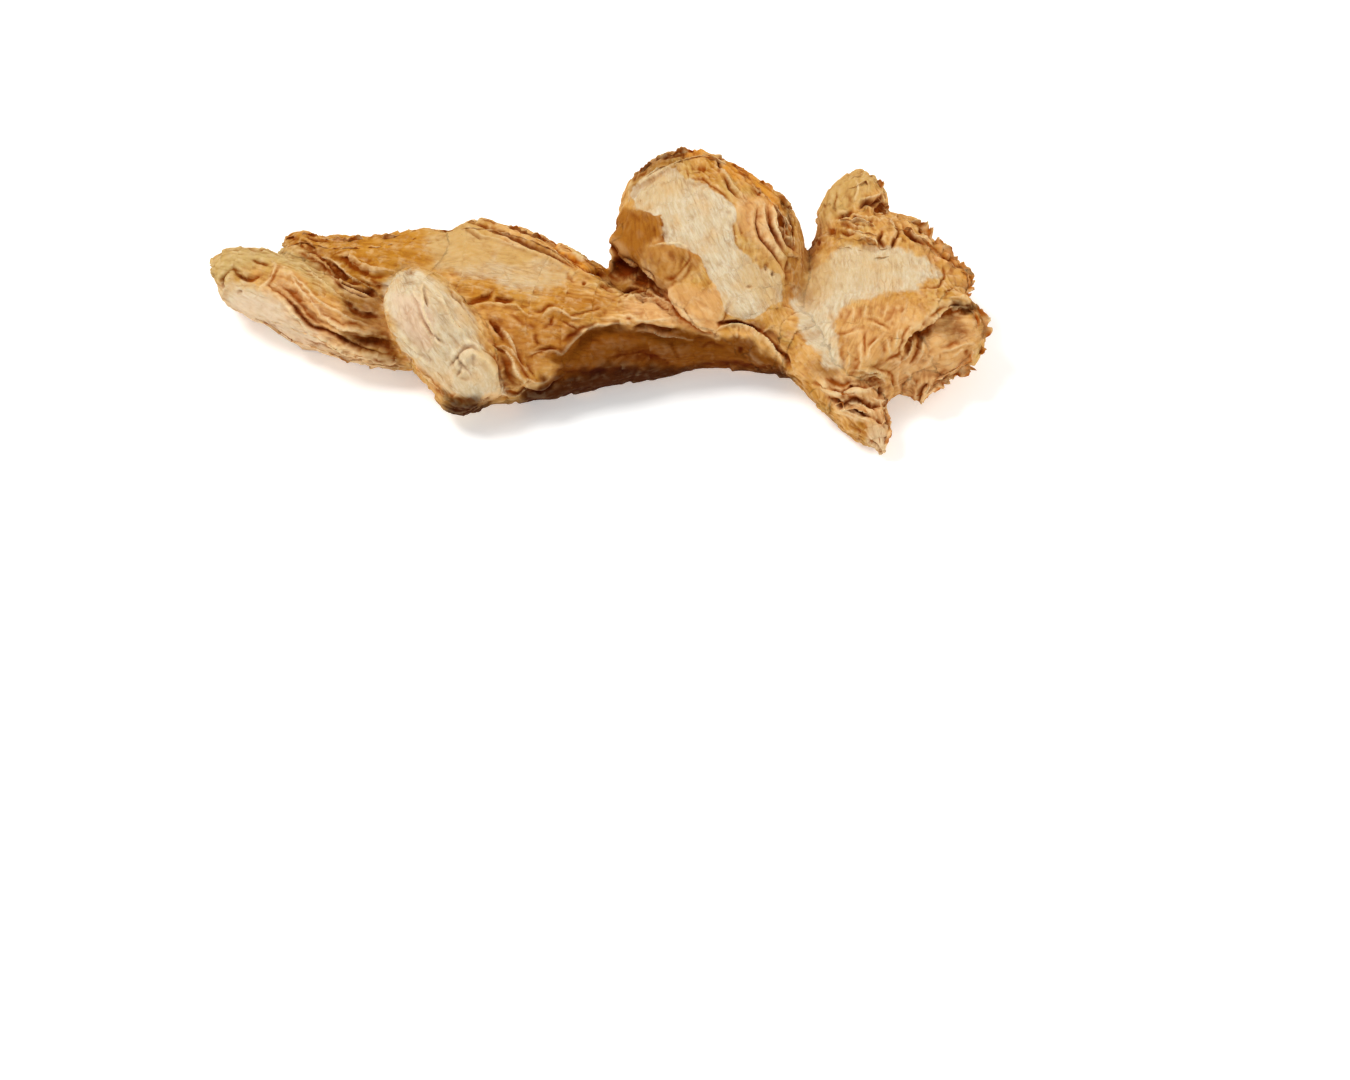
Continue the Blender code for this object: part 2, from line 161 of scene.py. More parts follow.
# %% Spines of the lobes
LOBES = [
    (25, [(-62.4, 9.2, 9.0, 2.0, 2.0), (-56.0, 7.9, 8.4, 5.9, 5.4), (-44.5, 2.9, 7.2, 6.4, 6.2),
          (-32.0, -1.6, 6.8, 5.1, 5.8), (-26.0, -3.0, 7.4, 4.0, 4.0)]),
    (6, [(-51.0, 13.4, 7.0, 2.0, 2.0), (-43.0, 10.2, 7.2, 5.6, 5.4), (-29.0, 7.4, 8.0, 9.0, 6.8),
         (-20.0, 6.0, 8.4, 9.0, 6.5)]),
    (4, [(-30.0, 4.5, 8.0, 6.0, 5.0), (-17.5, 2.7, 8.2, 16.5, 8.0), (0.5, -0.4, 7.8, 10.3, 7.2),
         (16.5, -0.6, 7.4, 6.1, 6.2), (34.0, -2.6, 7.2, 5.6, 5.2)]),
    (60, [(-31.8, 8.8, 19.6, 2.0, 2.0), (-28.2, 3.8, 17.0, 5.8, 5.2), (-22.0, -5.4, 10.4, 6.4, 5.8),
          (-18.2, -12.4, 6.0, 4.4, 3.8)]),
    (25, [(27.0, -2.0, 8.0, 5.0, 5.0), (20.2, 9.5, 12.0, 13.8, 8.2), (15.2, 21.6, 16.4, 12.0, 7.0),
          (14.8, 28.4, 18.6, 4.0, 3.0)]),
    (35, [(12.0, 10.4, 13.6, 6.0, 3.4), (1.6, 14.8, 16.0, 2.0, 1.5)]),
    (3, [(37.0, -11.0, 6.2, 3.0, 3.0), (44.0, 0.2, 7.8, 12.2, 7.8), (43.1, 12.0, 8.0, 10.6, 7.4),
         (41.4, 18.4, 9.4, 3.0, 3.0)]),
    (10, [(46.0, 4.0, 8.6, 6.0, 5.0), (59.8, 8.4, 8.8, 2.0, 2.0)]),
    (15, [(40.8, 12.0, 10.4, 4.0, 4.0), (42.0, 21.0, 11.6, 5.2, 4.6), (43.4, 25.6, 12.2, 2.0, 2.0)]),
    (10, [(46.0, -2.0, 8.0, 6.0, 5.0), (57.8, -0.6, 8.4, 6.4, 5.2), (62.2, 0.2, 8.4, 2.0, 2.0)]),
    (10, [(50.0, -4.0, 7.0, 5.0, 4.6), (51.8, -12.6, 5.0, 1.5, 1.5)]),
    (10, [(34.4, -4.4, 7.6, 5.0, 5.0), (41.8, -13.4, 5.2, 4.2, 4.2), (45.2, -20.4, 3.2, 1.5, 1.5)]),
]


def smooth_rows(rows, per_span):
    """Rows of numbers joined by a Catmull-Rom curve, with per_span samples between two given rows."""
    rows = np.asarray(rows, float)
    padded = np.vstack([2 * rows[0] - rows[1], rows, 2 * rows[-1] - rows[-2]])
    shares = (np.arange(per_span) / per_span)[:, None]
    out = []
    for a, b, c, d in zip(padded, padded[1:], padded[2:], padded[3:]):
        out.append(0.5 * (2 * b + (c - a) * shares + (2 * a - 5 * b + 4 * c - d) * shares ** 2
                          + (3 * b - a - 3 * c + d) * shares ** 3))
    return np.vstack(out + [rows[-1:]])


# %% Places on the lobes
SAMPLES_PER_SPAN = 4
LOBE_GAP = 50.0
CAP = 0.5


def lobe_places(points):
    """Each point's place on its nearest lobe: around it, as a point on a ring, and along it, in mm."""
    points = points + DRAWING_ORIGIN
    nearest = np.full(len(points), np.inf)
    grain = np.zeros((len(points), 3))
    start = 0.0
    for lean, stations in LOBES:
        rows = smooth_rows(stations, SAMPLES_PER_SPAN)
        across, up, height = rows[:, 0], rows[:, 1], rows[:, 2]
        depth = (up - height * math.cos(VIEW_HEIGHT)) / math.sin(VIEW_HEIGHT)
        centres = np.column_stack([across, depth, height])
        tangents = np.gradient(centres, axis=0)
        tangents /= np.linalg.norm(tangents, axis=1)[:, None]
        face = np.array([0.0, -math.sin(math.radians(lean)), math.cos(math.radians(lean))])
        sides = np.cross(tangents, face)
        sides /= np.linalg.norm(sides, axis=1)[:, None]
        steps = np.linalg.norm(np.diff(centres, axis=0), axis=1)
        lengths = start + np.concatenate([[0], np.cumsum(steps)])
        for centre, tangent, side, radii, length in zip(centres, tangents, sides, rows[:, 3:], lengths):
            away = points - centre
            x, y, z = away @ side, away @ np.cross(side, tangent), away @ tangent
            size = radii.mean()
            distance = (x / radii[0]) ** 2 + (y / radii[1]) ** 2 + (z / size) ** 2
            closer = distance < nearest
            nearest[closer] = distance[closer]
            spread = size / np.maximum(np.hypot(x[closer], y[closer]), CAP * size)
            grain[closer] = np.column_stack([x[closer] * spread, y[closer] * spread, length + z[closer]])
        start = lengths[-1] + LOBE_GAP
    return grain


print("lobes:", len(LOBES))

# %% [markdown]
# ## Noise that repeats
#
# Everything uneven on the skin comes from smooth noise, read at places in space. Numbers drawn at
# random would change with the net of faces, but noise belongs to its place. Blender's plain noise is
# the same each time. The kind that gives vectors is shifted by Blender's random seed, which follows
# the clock until it is set, so it is set here.
#
# Ruled lines look drawn, so whatever is drawn on the plane is shaken by such noise before it is used:
# a slow wander and a quick tremble, each given as how far it moves a place and how long its waves are.

# %% Noise
NOISE_SEED = 3
noise.seed_set(NOISE_SEED)


def noise_at(rows):
    """From -1 to 1, at each row of three numbers."""
    return np.array([noise.noise(Vector(row)) for row in rows])


def noise_vectors_at(rows):
    return np.array([noise.noise_vector(Vector(row)) for row in rows])


def warp(points, amount, size, shift=0.0):
    return amount * noise_vectors_at(points / size + shift)


def shaken(points, shakes, shift=0.0):
    """The points' places on the drawing plane after these shakes, each an amount and a size."""
    places = drawn_at(points)
    for amount, size in shakes:
        places = places + warp(points, amount, size, shift)[:, :2]
    return places


def patchy(points, size, middle, swing, low, high, shift=0.0):
    """Slow patches around a middle value, kept between low and high."""
    return np.clip(middle + swing * noise_at(points / size + shift), low, high)


print("the origin, shaken:", shaken(np.zeros((1, 3)), [(1.0, 3.0)]).round(2).tolist())

# %% [markdown]
# ## The folds, drawn as lines
#
# Four kinds of line make the shrivelled skin. A ridge is a narrow crest where the skin has folded on
# itself. A crease is a sunk line. A lip is an edge of skin that stands over what lies beside it: the
# skin to the left of the line's direction is the raised one, and it hangs a little over a groove on
# its right. A shade line is a shallow dent with painted shade along it. Each line has a height and a
# width, in millimetres, and the places it runs through.
#
# Another way would be to paint a height map, but a line keeps its meaning: it can be moved, raised or
# deepened without touching its neighbours.

# %% Folds of the left finger
LEFT_FINGER_FOLDS = [
    ("ridge", 0.9, 0.8, [(-52.3, 6), (-49.7, 3.7), (-47.7, 1.3), (-45.5, -1), (-42.6, -2.4), (-39.7, -3.7),
                         (-36, -4.5), (-31.6, -5.8)]),
    ("crease", 1.2, 0.7, [(-52.6, 6.8), (-49.7, 4.7), (-47.6, 2.4), (-45.8, 0.6), (-42.9, -0.6),
                          (-40.5, -1.8), (-37.7, -3.2), (-33.2, -4.4)]),
    ("crease", 1.1, 0.6, [(-46.1, -1.9), (-42.6, -3.2), (-39.7, -4.4), (-36, -5), (-31.6, -6.3)]),
    ("crease", 1.3, 1.5, [(-40, -1.5), (-37.4, -1.9), (-34.8, -2.3), (-32.6, -3.2)]),
    ("ridge", 0.5, 0.7, [(-40.8, -5), (-38.1, -5.8), (-35.2, -6.1), (-32.3, -6.6)]),
    ("ridge", 0.8, 0.8, [(-50.8, 9), (-48.7, 8.2), (-47.4, 6.3), (-45.5, 4.2), (-43.2, 1.9), (-41.3, 0.3),
                         (-38.4, -0.5), (-35.2, -1)]),
    ("crease", 0.5, 1.3, [(-51, 7.4), (-48.7, 5.3), (-46.5, 2.6), (-43.9, 0.6)]),
    ("crease", 0.5, 0.6, [(-48.1, 7.4), (-46.1, 4.8), (-43.9, 2.6), (-41.9, 1.3), (-40, 0.3)]),
    ("ridge", 0.5, 0.7, [(-52.1, 11), (-51.8, 9.4), (-52.6, 7.4), (-54.2, 6)]),
    ("crease", 0.9, 0.7, [(-55.2, 11), (-53.9, 10.5), (-52.6, 10.2)]),
    ("crease", 0.8, 0.7, [(-58.4, 9.5), (-57.1, 8.4), (-55.5, 8.1), (-53.9, 8.7)]),
    ("crease", 0.8, 0.7, [(-60.6, 6.3), (-60.2, 8.1), (-59, 9.4)]),
    ("crease", 0.3, 0.7, [(-56.8, 13.1), (-54.5, 12.6), (-52.3, 12.3)]),
    ("lip", 0.8, 0.9, [(-34.5, 3.9), (-37.4, 5), (-40, 6), (-42.1, 7.9), (-44.5, 10.3), (-47.3, 12.3),
                       (-50, 13.5)]),
    ("shade_line", 0.8, 0.5, [(-62.1, 8.4), (-61.6, 7.4), (-60.6, 6.5), (-60, 6.3)]),
    ("shade_line", 0.7, 0.6, [(-60.3, 8.5), (-60.3, 7.1), (-59.7, 6.5)]),
    ("shade_line", 0.5, 0.5, [(-59.7, 9.5), (-57.7, 9.4), (-56.6, 8.4)]),
    ("shade_line", 0.4, 0.8, [(-56.5, 13.1), (-54.2, 12.7), (-52.1, 12.4)]),
    ("shade_line", 0.6, 0.5, [(-57.3, 6.1), (-56.8, 5.2)]),
    ("shade_line", 0.9, 0.6, [(-52.6, 6.6), (-51.9, 8.4), (-51.1, 9.4)]),
    ("shade_line", 1.0, 0.7, [(-48.2, 12.7), (-46.1, 11.3), (-44.5, 10.3), (-42.9, 9), (-41.3, 7.4),
                         (-39.7, 6.3), (-37.7, 5.8), (-35.5, 5.3)]),
    ("shade_line", 1.0, 1.2, [(-39.7, -1.9), (-37.1, -2.6), (-34.5, -2.9), (-32.4, -4.2), (-31.3, -6.1)]),
    ("shade_line", 1.0, 0.8, [(-37.1, -1.1), (-35.2, -1), (-33.5, -1.3), (-32.6, -3.2)]),
    ("shade_line", 0.6, 0.5, [(-40.8, 1), (-39, 0.5), (-36.5, -0.3)]),
    ("ridge", 0.6, 0.6, [(-51.6, 10), (-49.4, 9), (-47.1, 7.1), (-44.8, 4.8), (-42.3, 2.9), (-39, 1),
                         (-35.8, 0)]),
    ("ridge", 0.5, 0.5, [(-49.7, 11), (-47.1, 10), (-44.5, 7.7), (-41.6, 5.2), (-39, 4)]),
    ("ridge", 0.6, 0.5, [(-45.5, -1.6), (-42.6, -3.1), (-39.7, -4.4), (-36.1, -5.2), (-31.9, -6.3)]),
]

# %% Folds of the back finger
BACK_FINGER_FOLDS = [
    ("crease", 1.1, 0.8, [(-47.1, 15.2), (-45.2, 14.7), (-42.9, 14.4)]),
    ("crease", 0.7, 0.6, [(-47.4, 14.2), (-46.3, 13.4), (-45.5, 12.6)]),
    ("lip", 0.8, 0.8, [(-42.3, 12.3), (-40.2, 11.8), (-38.9, 10.6), (-37.4, 9.7), (-35.8, 9),
                       (-33.5, 8.7)]),
    ("crease", 1.0, 0.9, [(-42.6, 10.2), (-41.3, 9.2), (-40, 8.2)]),
    ("crease", 0.5, 0.6, [(-40, 7.9), (-38.9, 7.4), (-37.7, 7.1)]),
    ("lip", 0.6, 0.7, [(-38.1, 8.4), (-36, 7.4), (-34.2, 6.8)]),
    ("crease", 1.1, 0.8, [(-41.5, 7.3), (-40, 6.3), (-38.1, 5.6), (-35.8, 5.3)]),
    ("lip", 0.7, 0.7, [(-39.7, 4.4), (-38.7, 3.2), (-36.8, 2.4), (-34.5, 2.1)]),
    ("shade_line", 1.0, 0.91, [(-51.1, 14.7), (-50, 15.2), (-48.2, 14.5)]),
    ("shade_line", 1.0, 1.04, [(-46.8, 14.8), (-45.2, 14.5), (-43.1, 14.2)]),
    ("shade_line", 0.7, 0.78, [(-42.7, 14.8), (-41.3, 14.7)]),
    ("shade_line", 0.7, 0.78, [(-47.1, 13.4), (-45.6, 12.6)]),
    ("shade_line", 1.0, 0.91, [(-41.6, 11), (-40.3, 11.5), (-39, 10.3), (-37.4, 9.4), (-36, 9.2)]),
    ("shade_line", 0.9, 0.78, [(-42.3, 9.4), (-41, 8.7), (-40, 8.1)]),
    ("shade_line", 0.9, 0.91, [(-36.5, 8.1), (-35.2, 7.1), (-34.4, 6.8)]),
    ("shade_line", 0.8, 0.78, [(-39.8, 7.6), (-38.2, 7.3)]),
    ("shade_line", 0.9, 1.04, [(-39.7, 6.1), (-37.4, 5.6), (-35.3, 5.8)]),
    ("shade_line", 0.8, 0.78, [(-39.7, 4.4), (-38.7, 2.9), (-37.1, 2.4), (-35, 2.1)]),
    ("shade_line", 0.7, 0.78, [(-36.8, 15), (-34.5, 14.8)]),
    ("shade_line", 0.5, 0.78, [(-43.2, 12.3), (-41.9, 12.3), (-40.6, 12.9)]),
    ("ridge", 0.6, 0.5, [(-44.8, 11.6), (-42.6, 11), (-40.6, 9.4), (-38.4, 7.7), (-35.8, 6.3)]),
    ("ridge", 0.5, 0.5, [(-39.7, 11.9), (-37.4, 10.3), (-34.5, 9.4), (-32.3, 9)]),
]

# %% Folds of the front finger
FRONT_FINGER_FOLDS = [
    ("ridge", 0.8, 0.6, [(-27.1, 7.1), (-27.7, 4.8), (-27.1, 1.9), (-25.5, -1.3), (-23.9, -3.9)]),
    ("crease", 0.5, 0.5, [(-26.9, 6.1), (-26.9, 4.4), (-26.3, 2.7)]),
    ("ridge", 0.7, 0.6, [(-25.3, 6.1), (-23.9, 2.9), (-21.9, -0.3), (-19.7, -2.9)]),
    ("ridge", 0.7, 0.8, [(-33.9, 5.5), (-32.9, 2.3), (-31.6, -0.6), (-29.7, -3.2), (-27.1, -5.2)]),
    ("crease", 0.6, 0.6, [(-31.6, -1.3), (-29.7, -3.5), (-27.4, -4.8), (-25.8, -5.5)]),
    ("crease", 0.4, 1.6, [(-31.6, 4.8), (-30.3, 1.6), (-28.7, -1.6), (-27.1, -4)]),
    ("ridge", 0.6, 0.6, [(-23.5, 4.8), (-21.3, 2.6), (-19, 0), (-17.6, -2.3)]),
    ("crease", 0.8, 0.6, [(-23.2, -6.5), (-22.1, -5), (-21.1, -3.7), (-19.7, -3.1), (-18.5, -3.9)]),
    ("ridge", 0.6, 1.3, [(-21.9, -7.4), (-21.1, -5.6), (-19.8, -4.2), (-18.4, -5), (-16.8, -6.5),
                         (-15.5, -8.7)]),
    ("crease", 0.5, 0.5, [(-21.5, -5.5), (-21.3, -6.8), (-22.1, -8.1)]),
    ("crease", 1.1, 1.0, [(-18.1, -3.2), (-16.1, -5.2), (-15, -7.4), (-14.7, -9.7)]),
    ("shade_line", 0.7, 0.8, [(-30.6, 8.5), (-29.7, 8.7), (-28.5, 8.2)]),
    ("shade_line", 0.7, 0.4, [(-27.1, 4.8), (-26.6, 3.4)]),
    ("shade_line", 0.5, 0.4, [(-31.3, 0), (-29.5, -2.4), (-27.1, -4.5), (-25.8, -5)]),
    ("shade_line", 0.9, 0.5, [(-21.6, -3.9), (-20.6, -3.1), (-19.5, -2.9), (-18.9, -3.5)]),
    ("shade_line", 0.7, 0.5, [(-19.7, -4.2), (-19.5, -5.5)]),
    ("shade_line", 0.6, 0.5, [(-21.8, -6.1), (-21.6, -7.6)]),
    ("shade_line", 0.9, 0.8, [(-25.8, -9.4), (-24.2, -10.6), (-21.9, -11.5), (-19, -11.6)]),
    ("ridge", 0.5, 0.5, [(-28.7, 6.5), (-28.7, 4), (-27.4, 0.8), (-25.5, -2.4), (-23.5, -4.8)]),
    ("ridge", 0.5, 0.5, [(-33.2, 4), (-32.3, 0), (-30.3, -2.9), (-27.4, -5.3), (-24.7, -7.3)]),
    ("ridge", 0.4, 0.5, [(-25.5, 4.8), (-22.9, 1.9), (-20.6, -0.3), (-18.7, -1.9)]),
    ("ridge", 0.4, 0.5, [(-24.8, 7.7), (-21.9, 4.5), (-19, 1.3), (-17.4, -1.3)]),
    ("shade_line", 0.5, 0.4, [(-23.1, 4.5), (-21, 3.2), (-19, 1.6)]),
    ("shade_line", 0.4, 0.4, [(-24.5, -0.3), (-22.3, -2.4), (-21.9, -4.2)]),
    ("crease", 0.7, 0.5, [(-29.4, 5.6), (-27.8, 1.7), (-25.9, -1), (-23.5, -2.9)]),
    ("shade_line", 0.55, 0.45, [(-29.4, 5.6), (-27.8, 1.7), (-25.9, -1), (-23.5, -2.9)]),
    ("crease", 0.5, 0.5, [(-24.3, 7.2), (-21.2, 2.9), (-17.7, -1.7)]),
    ("shade_line", 0.4, 0.4, [(-24.3, 7.2), (-21.2, 2.9), (-17.7, -1.7)]),
    ("crease", 0.6, 0.5, [(-22.4, -4.8), (-21.2, -6.2), (-20.5, -7.2)]),
    ("shade_line", 0.7, 0.4, [(-22.4, -4.8), (-21.2, -6.2), (-20.5, -7.2)]),
    ("shade_line", 0.6, 0.35, [(-19.9, -5.6), (-19.3, -6.5)]),
    ("shade_line", 0.6, 0.4, [(-21.8, -8.1), (-20.7, -8.6), (-19.9, -8.2)]),
]

# %% Folds at the lower left of the body
BODY_LEFT_FOLDS = [
    ("crease", 0.9, 0.7, [(-17.3, 1.3), (-16.3, -0.2), (-15.3, -1.3), (-14.8, -2.3)]),
    ("ridge", 0.8, 0.7, [(-15.2, -0.6), (-14, -1.9), (-13.1, -3.5), (-12.6, -4.8)]),
    ("ridge", 0.9, 0.8, [(-15.3, -3.4), (-14.2, -4.5), (-13.1, -6.3), (-11.8, -8.4), (-10.8, -9.5)]),
    ("crease", 0.9, 1.2, [(-15.2, -4.8), (-14.2, -6.6), (-13.5, -8.9)]),
    ("lip", 1.0, 0.9, [(-11.6, -9), (-10, -9.5), (-8.4, -9.2), (-7.3, -8.2), (-6, -7.9)]),
    ("crease", 0.3, 0.6, [(-11.1, -5.8), (-10.3, -6.9), (-9.5, -8.1)]),
    ("crease", 0.5, 0.7, [(-10.6, -5), (-9.2, -4.2), (-7.4, -3.5), (-6.1, -3.7)]),
    ("crease", 0.6, 0.8, [(-21.6, 4), (-19.4, 4), (-17.4, 4.8), (-16.5, 6.1)]),
    ("crease", 0.6, 0.7, [(-16.3, 4.8), (-14.8, 4.2), (-13.4, 4)]),
    ("ridge", 0.4, 0.6, [(-19.4, 3.4), (-17.1, 3.9), (-14.8, 3.7), (-12.6, 3.1), (-11, 1.9), (-9.4, 1.6)]),
    ("crease", 0.5, 0.7, [(-10.3, 2.3), (-9.2, 2.3), (-8.1, 3.1), (-6.9, 3.2)]),
    ("ridge", 0.6, 0.7, [(-9.2, 1.1), (-7.7, 2.3), (-6.1, 2.6), (-4.8, 2.1), (-3.4, 1.5), (-1.6, 1.3)]),
    ("crease", 0.35, 0.7, [(-8.5, -0.5), (-7.4, 0.6), (-6.8, 1.8)]),
    ("crease", 0.5, 0.6, [(-5.5, 1), (-4.2, 0.3), (-2.9, -0.2), (-1.5, 0.5)]),
    ("crease", 0.3, 0.7, [(-9.7, -0.5), (-9.4, -2.3), (-10.2, -3.7)]),
    ("shade_line", 0.9, 0.7, [(-21.3, 4), (-19, 4.5), (-17.1, 5.3), (-16.5, 6.3)]),
    ("shade_line", 0.7, 0.5, [(-16.5, 4.4), (-14.4, 3.9)]),
    ("shade_line", 0.7, 0.5, [(-10.3, 2.1), (-8.5, 2.6), (-7.4, 3.2), (-5.8, 3.1)]),
    ("shade_line", 1.0, 0.9, [(-17.1, 1.3), (-15.8, 0), (-15.3, -1.1), (-15, -1.9)]),
    ("shade_line", 0.6, 0.6, [(-7.6, 1.3), (-6.8, 0)]),
    ("shade_line", 0.6, 0.5, [(-9.8, -1), (-9.4, -2.9)]),
    ("shade_line", 0.9, 0.5, [(-10, -4.2), (-8.1, -3.5), (-6.1, -3.4)]),
    ("shade_line", 0.8, 0.5, [(-16.3, -2.6), (-15.6, -3.7), (-14.2, -4.2)]),
    ("shade_line", 0.8, 0.6, [(-15.3, -5.2), (-15, -7.7), (-14.5, -9.8)]),
    ("shade_line", 0.7, 0.5, [(-12.9, -3.5), (-11.9, -5.8), (-11, -8.1), (-9.8, -9)]),
    ("shade_line", 0.5, 0.5, [(-13.9, 2.3), (-11.6, 0.6), (-9.4, 0)]),
    ("shade_line", 0.9, 0.6, [(-14.8, -10), (-12.6, -10.6), (-11.3, -9.7)]),
    ("ridge", 0.6, 0.5, [(-15, -10.3), (-13.5, -11), (-12.3, -10.8), (-11, -9.4)]),
    ("ridge", 0.5, 0.5, [(-12.6, -9.4), (-11, -8.5), (-9.2, -9.2), (-7.4, -8.4)]),
    ("ridge", 0.5, 0.5, [(-16.5, -2.9), (-14.2, -3.5), (-12.6, -5.2), (-11, -7.1)]),
]

# %% Folds along the front of the body
BODY_FRONT_FOLDS = [
    ("ridge", 1.0, 0.8, [(-10.2, -4.5), (-8.5, -3.9), (-6.8, -3.7), (-5.6, -4.2), (-4.5, -3.1),
                         (-3.2, -1.6), (-1.6, -0.2), (0.6, 0.3), (3.2, 0.8), (5.8, 0.5)]),
    ("crease", 0.9, 0.6, [(6.1, -0.2), (7.7, 0.2), (9.4, -0.2), (11, -0.5), (13.1, -0.2)]),
    ("ridge", 0.5, 0.6, [(6.1, -1), (8.1, -0.3), (9.4, -0.6), (10.6, -1.3), (13.9, -1.5)]),
    ("crease", 0.6, 2.4, [(1.3, -5.8), (3.9, -4.7), (6.8, -4.4), (9.7, -5), (11.9, -6)]),
    ("ridge", 1.0, 0.9, [(18.5, -0.8), (20.3, 0), (22.1, 0.2), (23.7, -0.2), (25, -1.3), (26.5, -2.3),
                         (28.1, -3.4), (29, -4.7), (30, -6.1)]),
    ("crease", 1.0, 0.6, [(19.4, 0.6), (21, 0.8), (22.9, 0.6), (24.5, 0), (25.8, -1)]),
    ("crease", 0.9, 0.6, [(26.8, -1.9), (28.2, -2.7), (29.4, -3.9), (30.3, -5), (31, -6.5)]),
    ("ridge", 0.4, 0.5, [(25.6, -1.1), (26.6, -0.6), (27.9, 0)]),
    ("ridge", 0.4, 1.2, [(24.2, -3.7), (25.2, -5), (26.6, -5.8)]),
    ("ridge", 0.6, 0.7, [(28.7, -5.8), (29.8, -6.8), (31.5, -7.3)]),
    ("lip", 0.6, 0.7, [(8.9, 4.7), (6.8, 5.2), (4.8, 5), (3.1, 4.2)]),
    ("ridge", 0.4, 0.7, [(9, 5.5), (10.6, 4.5), (12.1, 3.2)]),
    ("crease", 0.5, 0.6, [(9.2, 4.5), (10, 3.4), (11.3, 2.7)]),
    ("ridge", 0.4, 0.7, [(0.3, 1.3), (2.3, 1.6), (3.9, 1.3), (5.3, 0.6)]),
    ("crease", 0.5, 0.5, [(-4.2, 1.9), (-2.6, 2.4), (-1, 2.7), (0.6, 3.1)]),
    ("shade_line", 0.9, 0.5, [(-5.8, -2.6), (-3.7, -1.1), (-1.6, 0), (0.6, 0.5)]),
    ("shade_line", 1.0, 0.5, [(6.5, -0.2), (8.1, 0.2), (10, -0.3), (12.4, -0.5)]),
    ("shade_line", 0.8, 0.5, [(17.1, -0.6), (18.7, -1.1)]),
    ("shade_line", 1.0, 0.4, [(19.5, 0.6), (21.3, 0.8), (23.7, 0.5), (25.3, -0.3), (26.8, -1.5), (28.4, -2.7)]),
    ("shade_line", 0.7, 1.6, [(2.9, -5), (4.8, -4.2), (7.4, -4.2), (10, -5.2), (11.9, -6)]),
    ("shade_line", 0.7, 0.6, [(22.3, -3.1), (23.2, -3.9)]),
    ("shade_line", 1.0, 0.5, [(29.4, -3.7), (30.3, -4.8), (30.3, -6.6)]),
    ("shade_line", 0.8, 0.9, [(-6.1, -6.8), (-1.3, -7.1), (3.5, -6.8), (8.4, -6.5)]),
    ("shade_line", 0.8, 0.7, [(14.8, -6), (19.7, -5.8), (24.5, -6), (28.1, -6.5)]),
    ("shade_line", 0.5, 0.6, [(11.3, -2.3), (12.3, -3.5), (13.2, -5.5)]),
    ("shade_line", 0.5, 0.5, [(16.5, -3.5), (18.4, -2.6), (20.3, -3.5)]),
    ("ridge", 0.6, 0.5, [(6.8, -1.1), (8.7, -0.5), (10.6, -1.1), (13.2, -1.6), (15.5, -1.9)]),
    ("shade_line", 0.7, 0.4, [(4.4, 1.3), (5.3, 1.1)]),
    ("ridge", 0.5, 0.5, [(1.1, 1.3), (3.2, 1.9), (5.2, 1.6), (7.1, 0.8), (10, 1), (12.6, 1.3)]),
    ("ridge", 0.5, 0.5, [(3.9, 4.2), (6.1, 4.8), (8.4, 4.5), (10.3, 5.2)]),
]

# %% Folds along the back of the body
BODY_BACK_FOLDS = [
    ("crease", 1.3, 0.7, [(-20.3, 17.4), (-17.7, 16.5), (-15, 15.3), (-12.3, 14.2), (-10, 13.2),
                          (-8.4, 12.4), (-6.1, 11), (-3.5, 9.5)]),
    ("ridge", 0.4, 0.6, [(-21, 16.5), (-18.1, 15), (-15.2, 14), (-11.9, 12.9), (-8.7, 11.6), (-6.5, 10.3)]),
    ("crease", 1.0, 0.7, [(-12.3, 15.8), (-10.6, 15.2), (-9, 14.7), (-7.3, 14.4)]),
    ("ridge", 0.8, 0.5, [(-6.8, 13.5), (-4.8, 12.4), (-2.6, 11), (-0.3, 9.7), (1.6, 8.5)]),
    ("crease", 0.8, 0.5, [(-6.8, 12.6), (-4.5, 11), (-2.1, 9.5), (0.5, 8.2)]),
    ("crease", 0.4, 0.5, [(-21, 16), (-19.7, 15.2), (-18.2, 14.4)]),
    ("crease", 1.0, 0.6, [(0.3, 6.8), (1.6, 6.3), (2.7, 5.8)]),
    ("crease", 1.0, 0.6, [(4.2, 4.8), (5.3, 6.1), (6.6, 6.1)]),
    ("crease", 0.9, 0.6, [(8.1, 6.8), (9.4, 5.8), (10.8, 5.3)]),
    ("shade_line", 1.0, 0.5, [(-20.6, 17.6), (-19, 16.9), (-16.6, 16.1), (-13.9, 15), (-11, 13.7),
                         (-8.4, 12.6)]),
    ("shade_line", 1.0, 1.0, [(-10, 14.5), (-8.5, 14.4), (-6.9, 14)]),
    ("shade_line", 0.9, 0.5, [(-6.9, 12.9), (-5.8, 11.8), (-3.9, 10.3), (-1.3, 9), (1.6, 8.2)]),
    ("shade_line", 0.5, 0.4, [(-21.3, 16), (-19.4, 15), (-17.1, 14.4)]),
    ("shade_line", 0.5, 0.4, [(-16.1, 14.5), (-13.9, 13.5), (-11.3, 12.7)]),
    ("shade_line", 0.7, 0.5, [(-5, 8.7), (-3.9, 7.4)]),
    ("shade_line", 0.8, 0.5, [(0.3, 6.5), (2.4, 5.8)]),
    ("ridge", 0.7, 0.5, [(-6.1, 13.4), (-3.9, 11.6), (-1.6, 10.2), (1.3, 8.9)]),
    ("ridge", 0.6, 0.4, [(-6.8, 13.9), (-4.2, 12.3), (-1.6, 10.8), (1, 9.5)]),
    ("shade_line", 1.0, 1.0, [(2.6, 12.9), (3.2, 10), (5.2, 9), (7.7, 8.7)]),
    ("shade_line", 1.0, 0.9, [(6.8, 9.4), (8.4, 7.4), (10.6, 5.8)]),
    ("shade_line", 0.9, 0.7, [(3.7, 5), (5.5, 6.1), (7.7, 5.2)]),
    ("shade_line", 0.6, 0.6, [(1.3, 11), (2.3, 8.7), (3.9, 7.4)]),
]

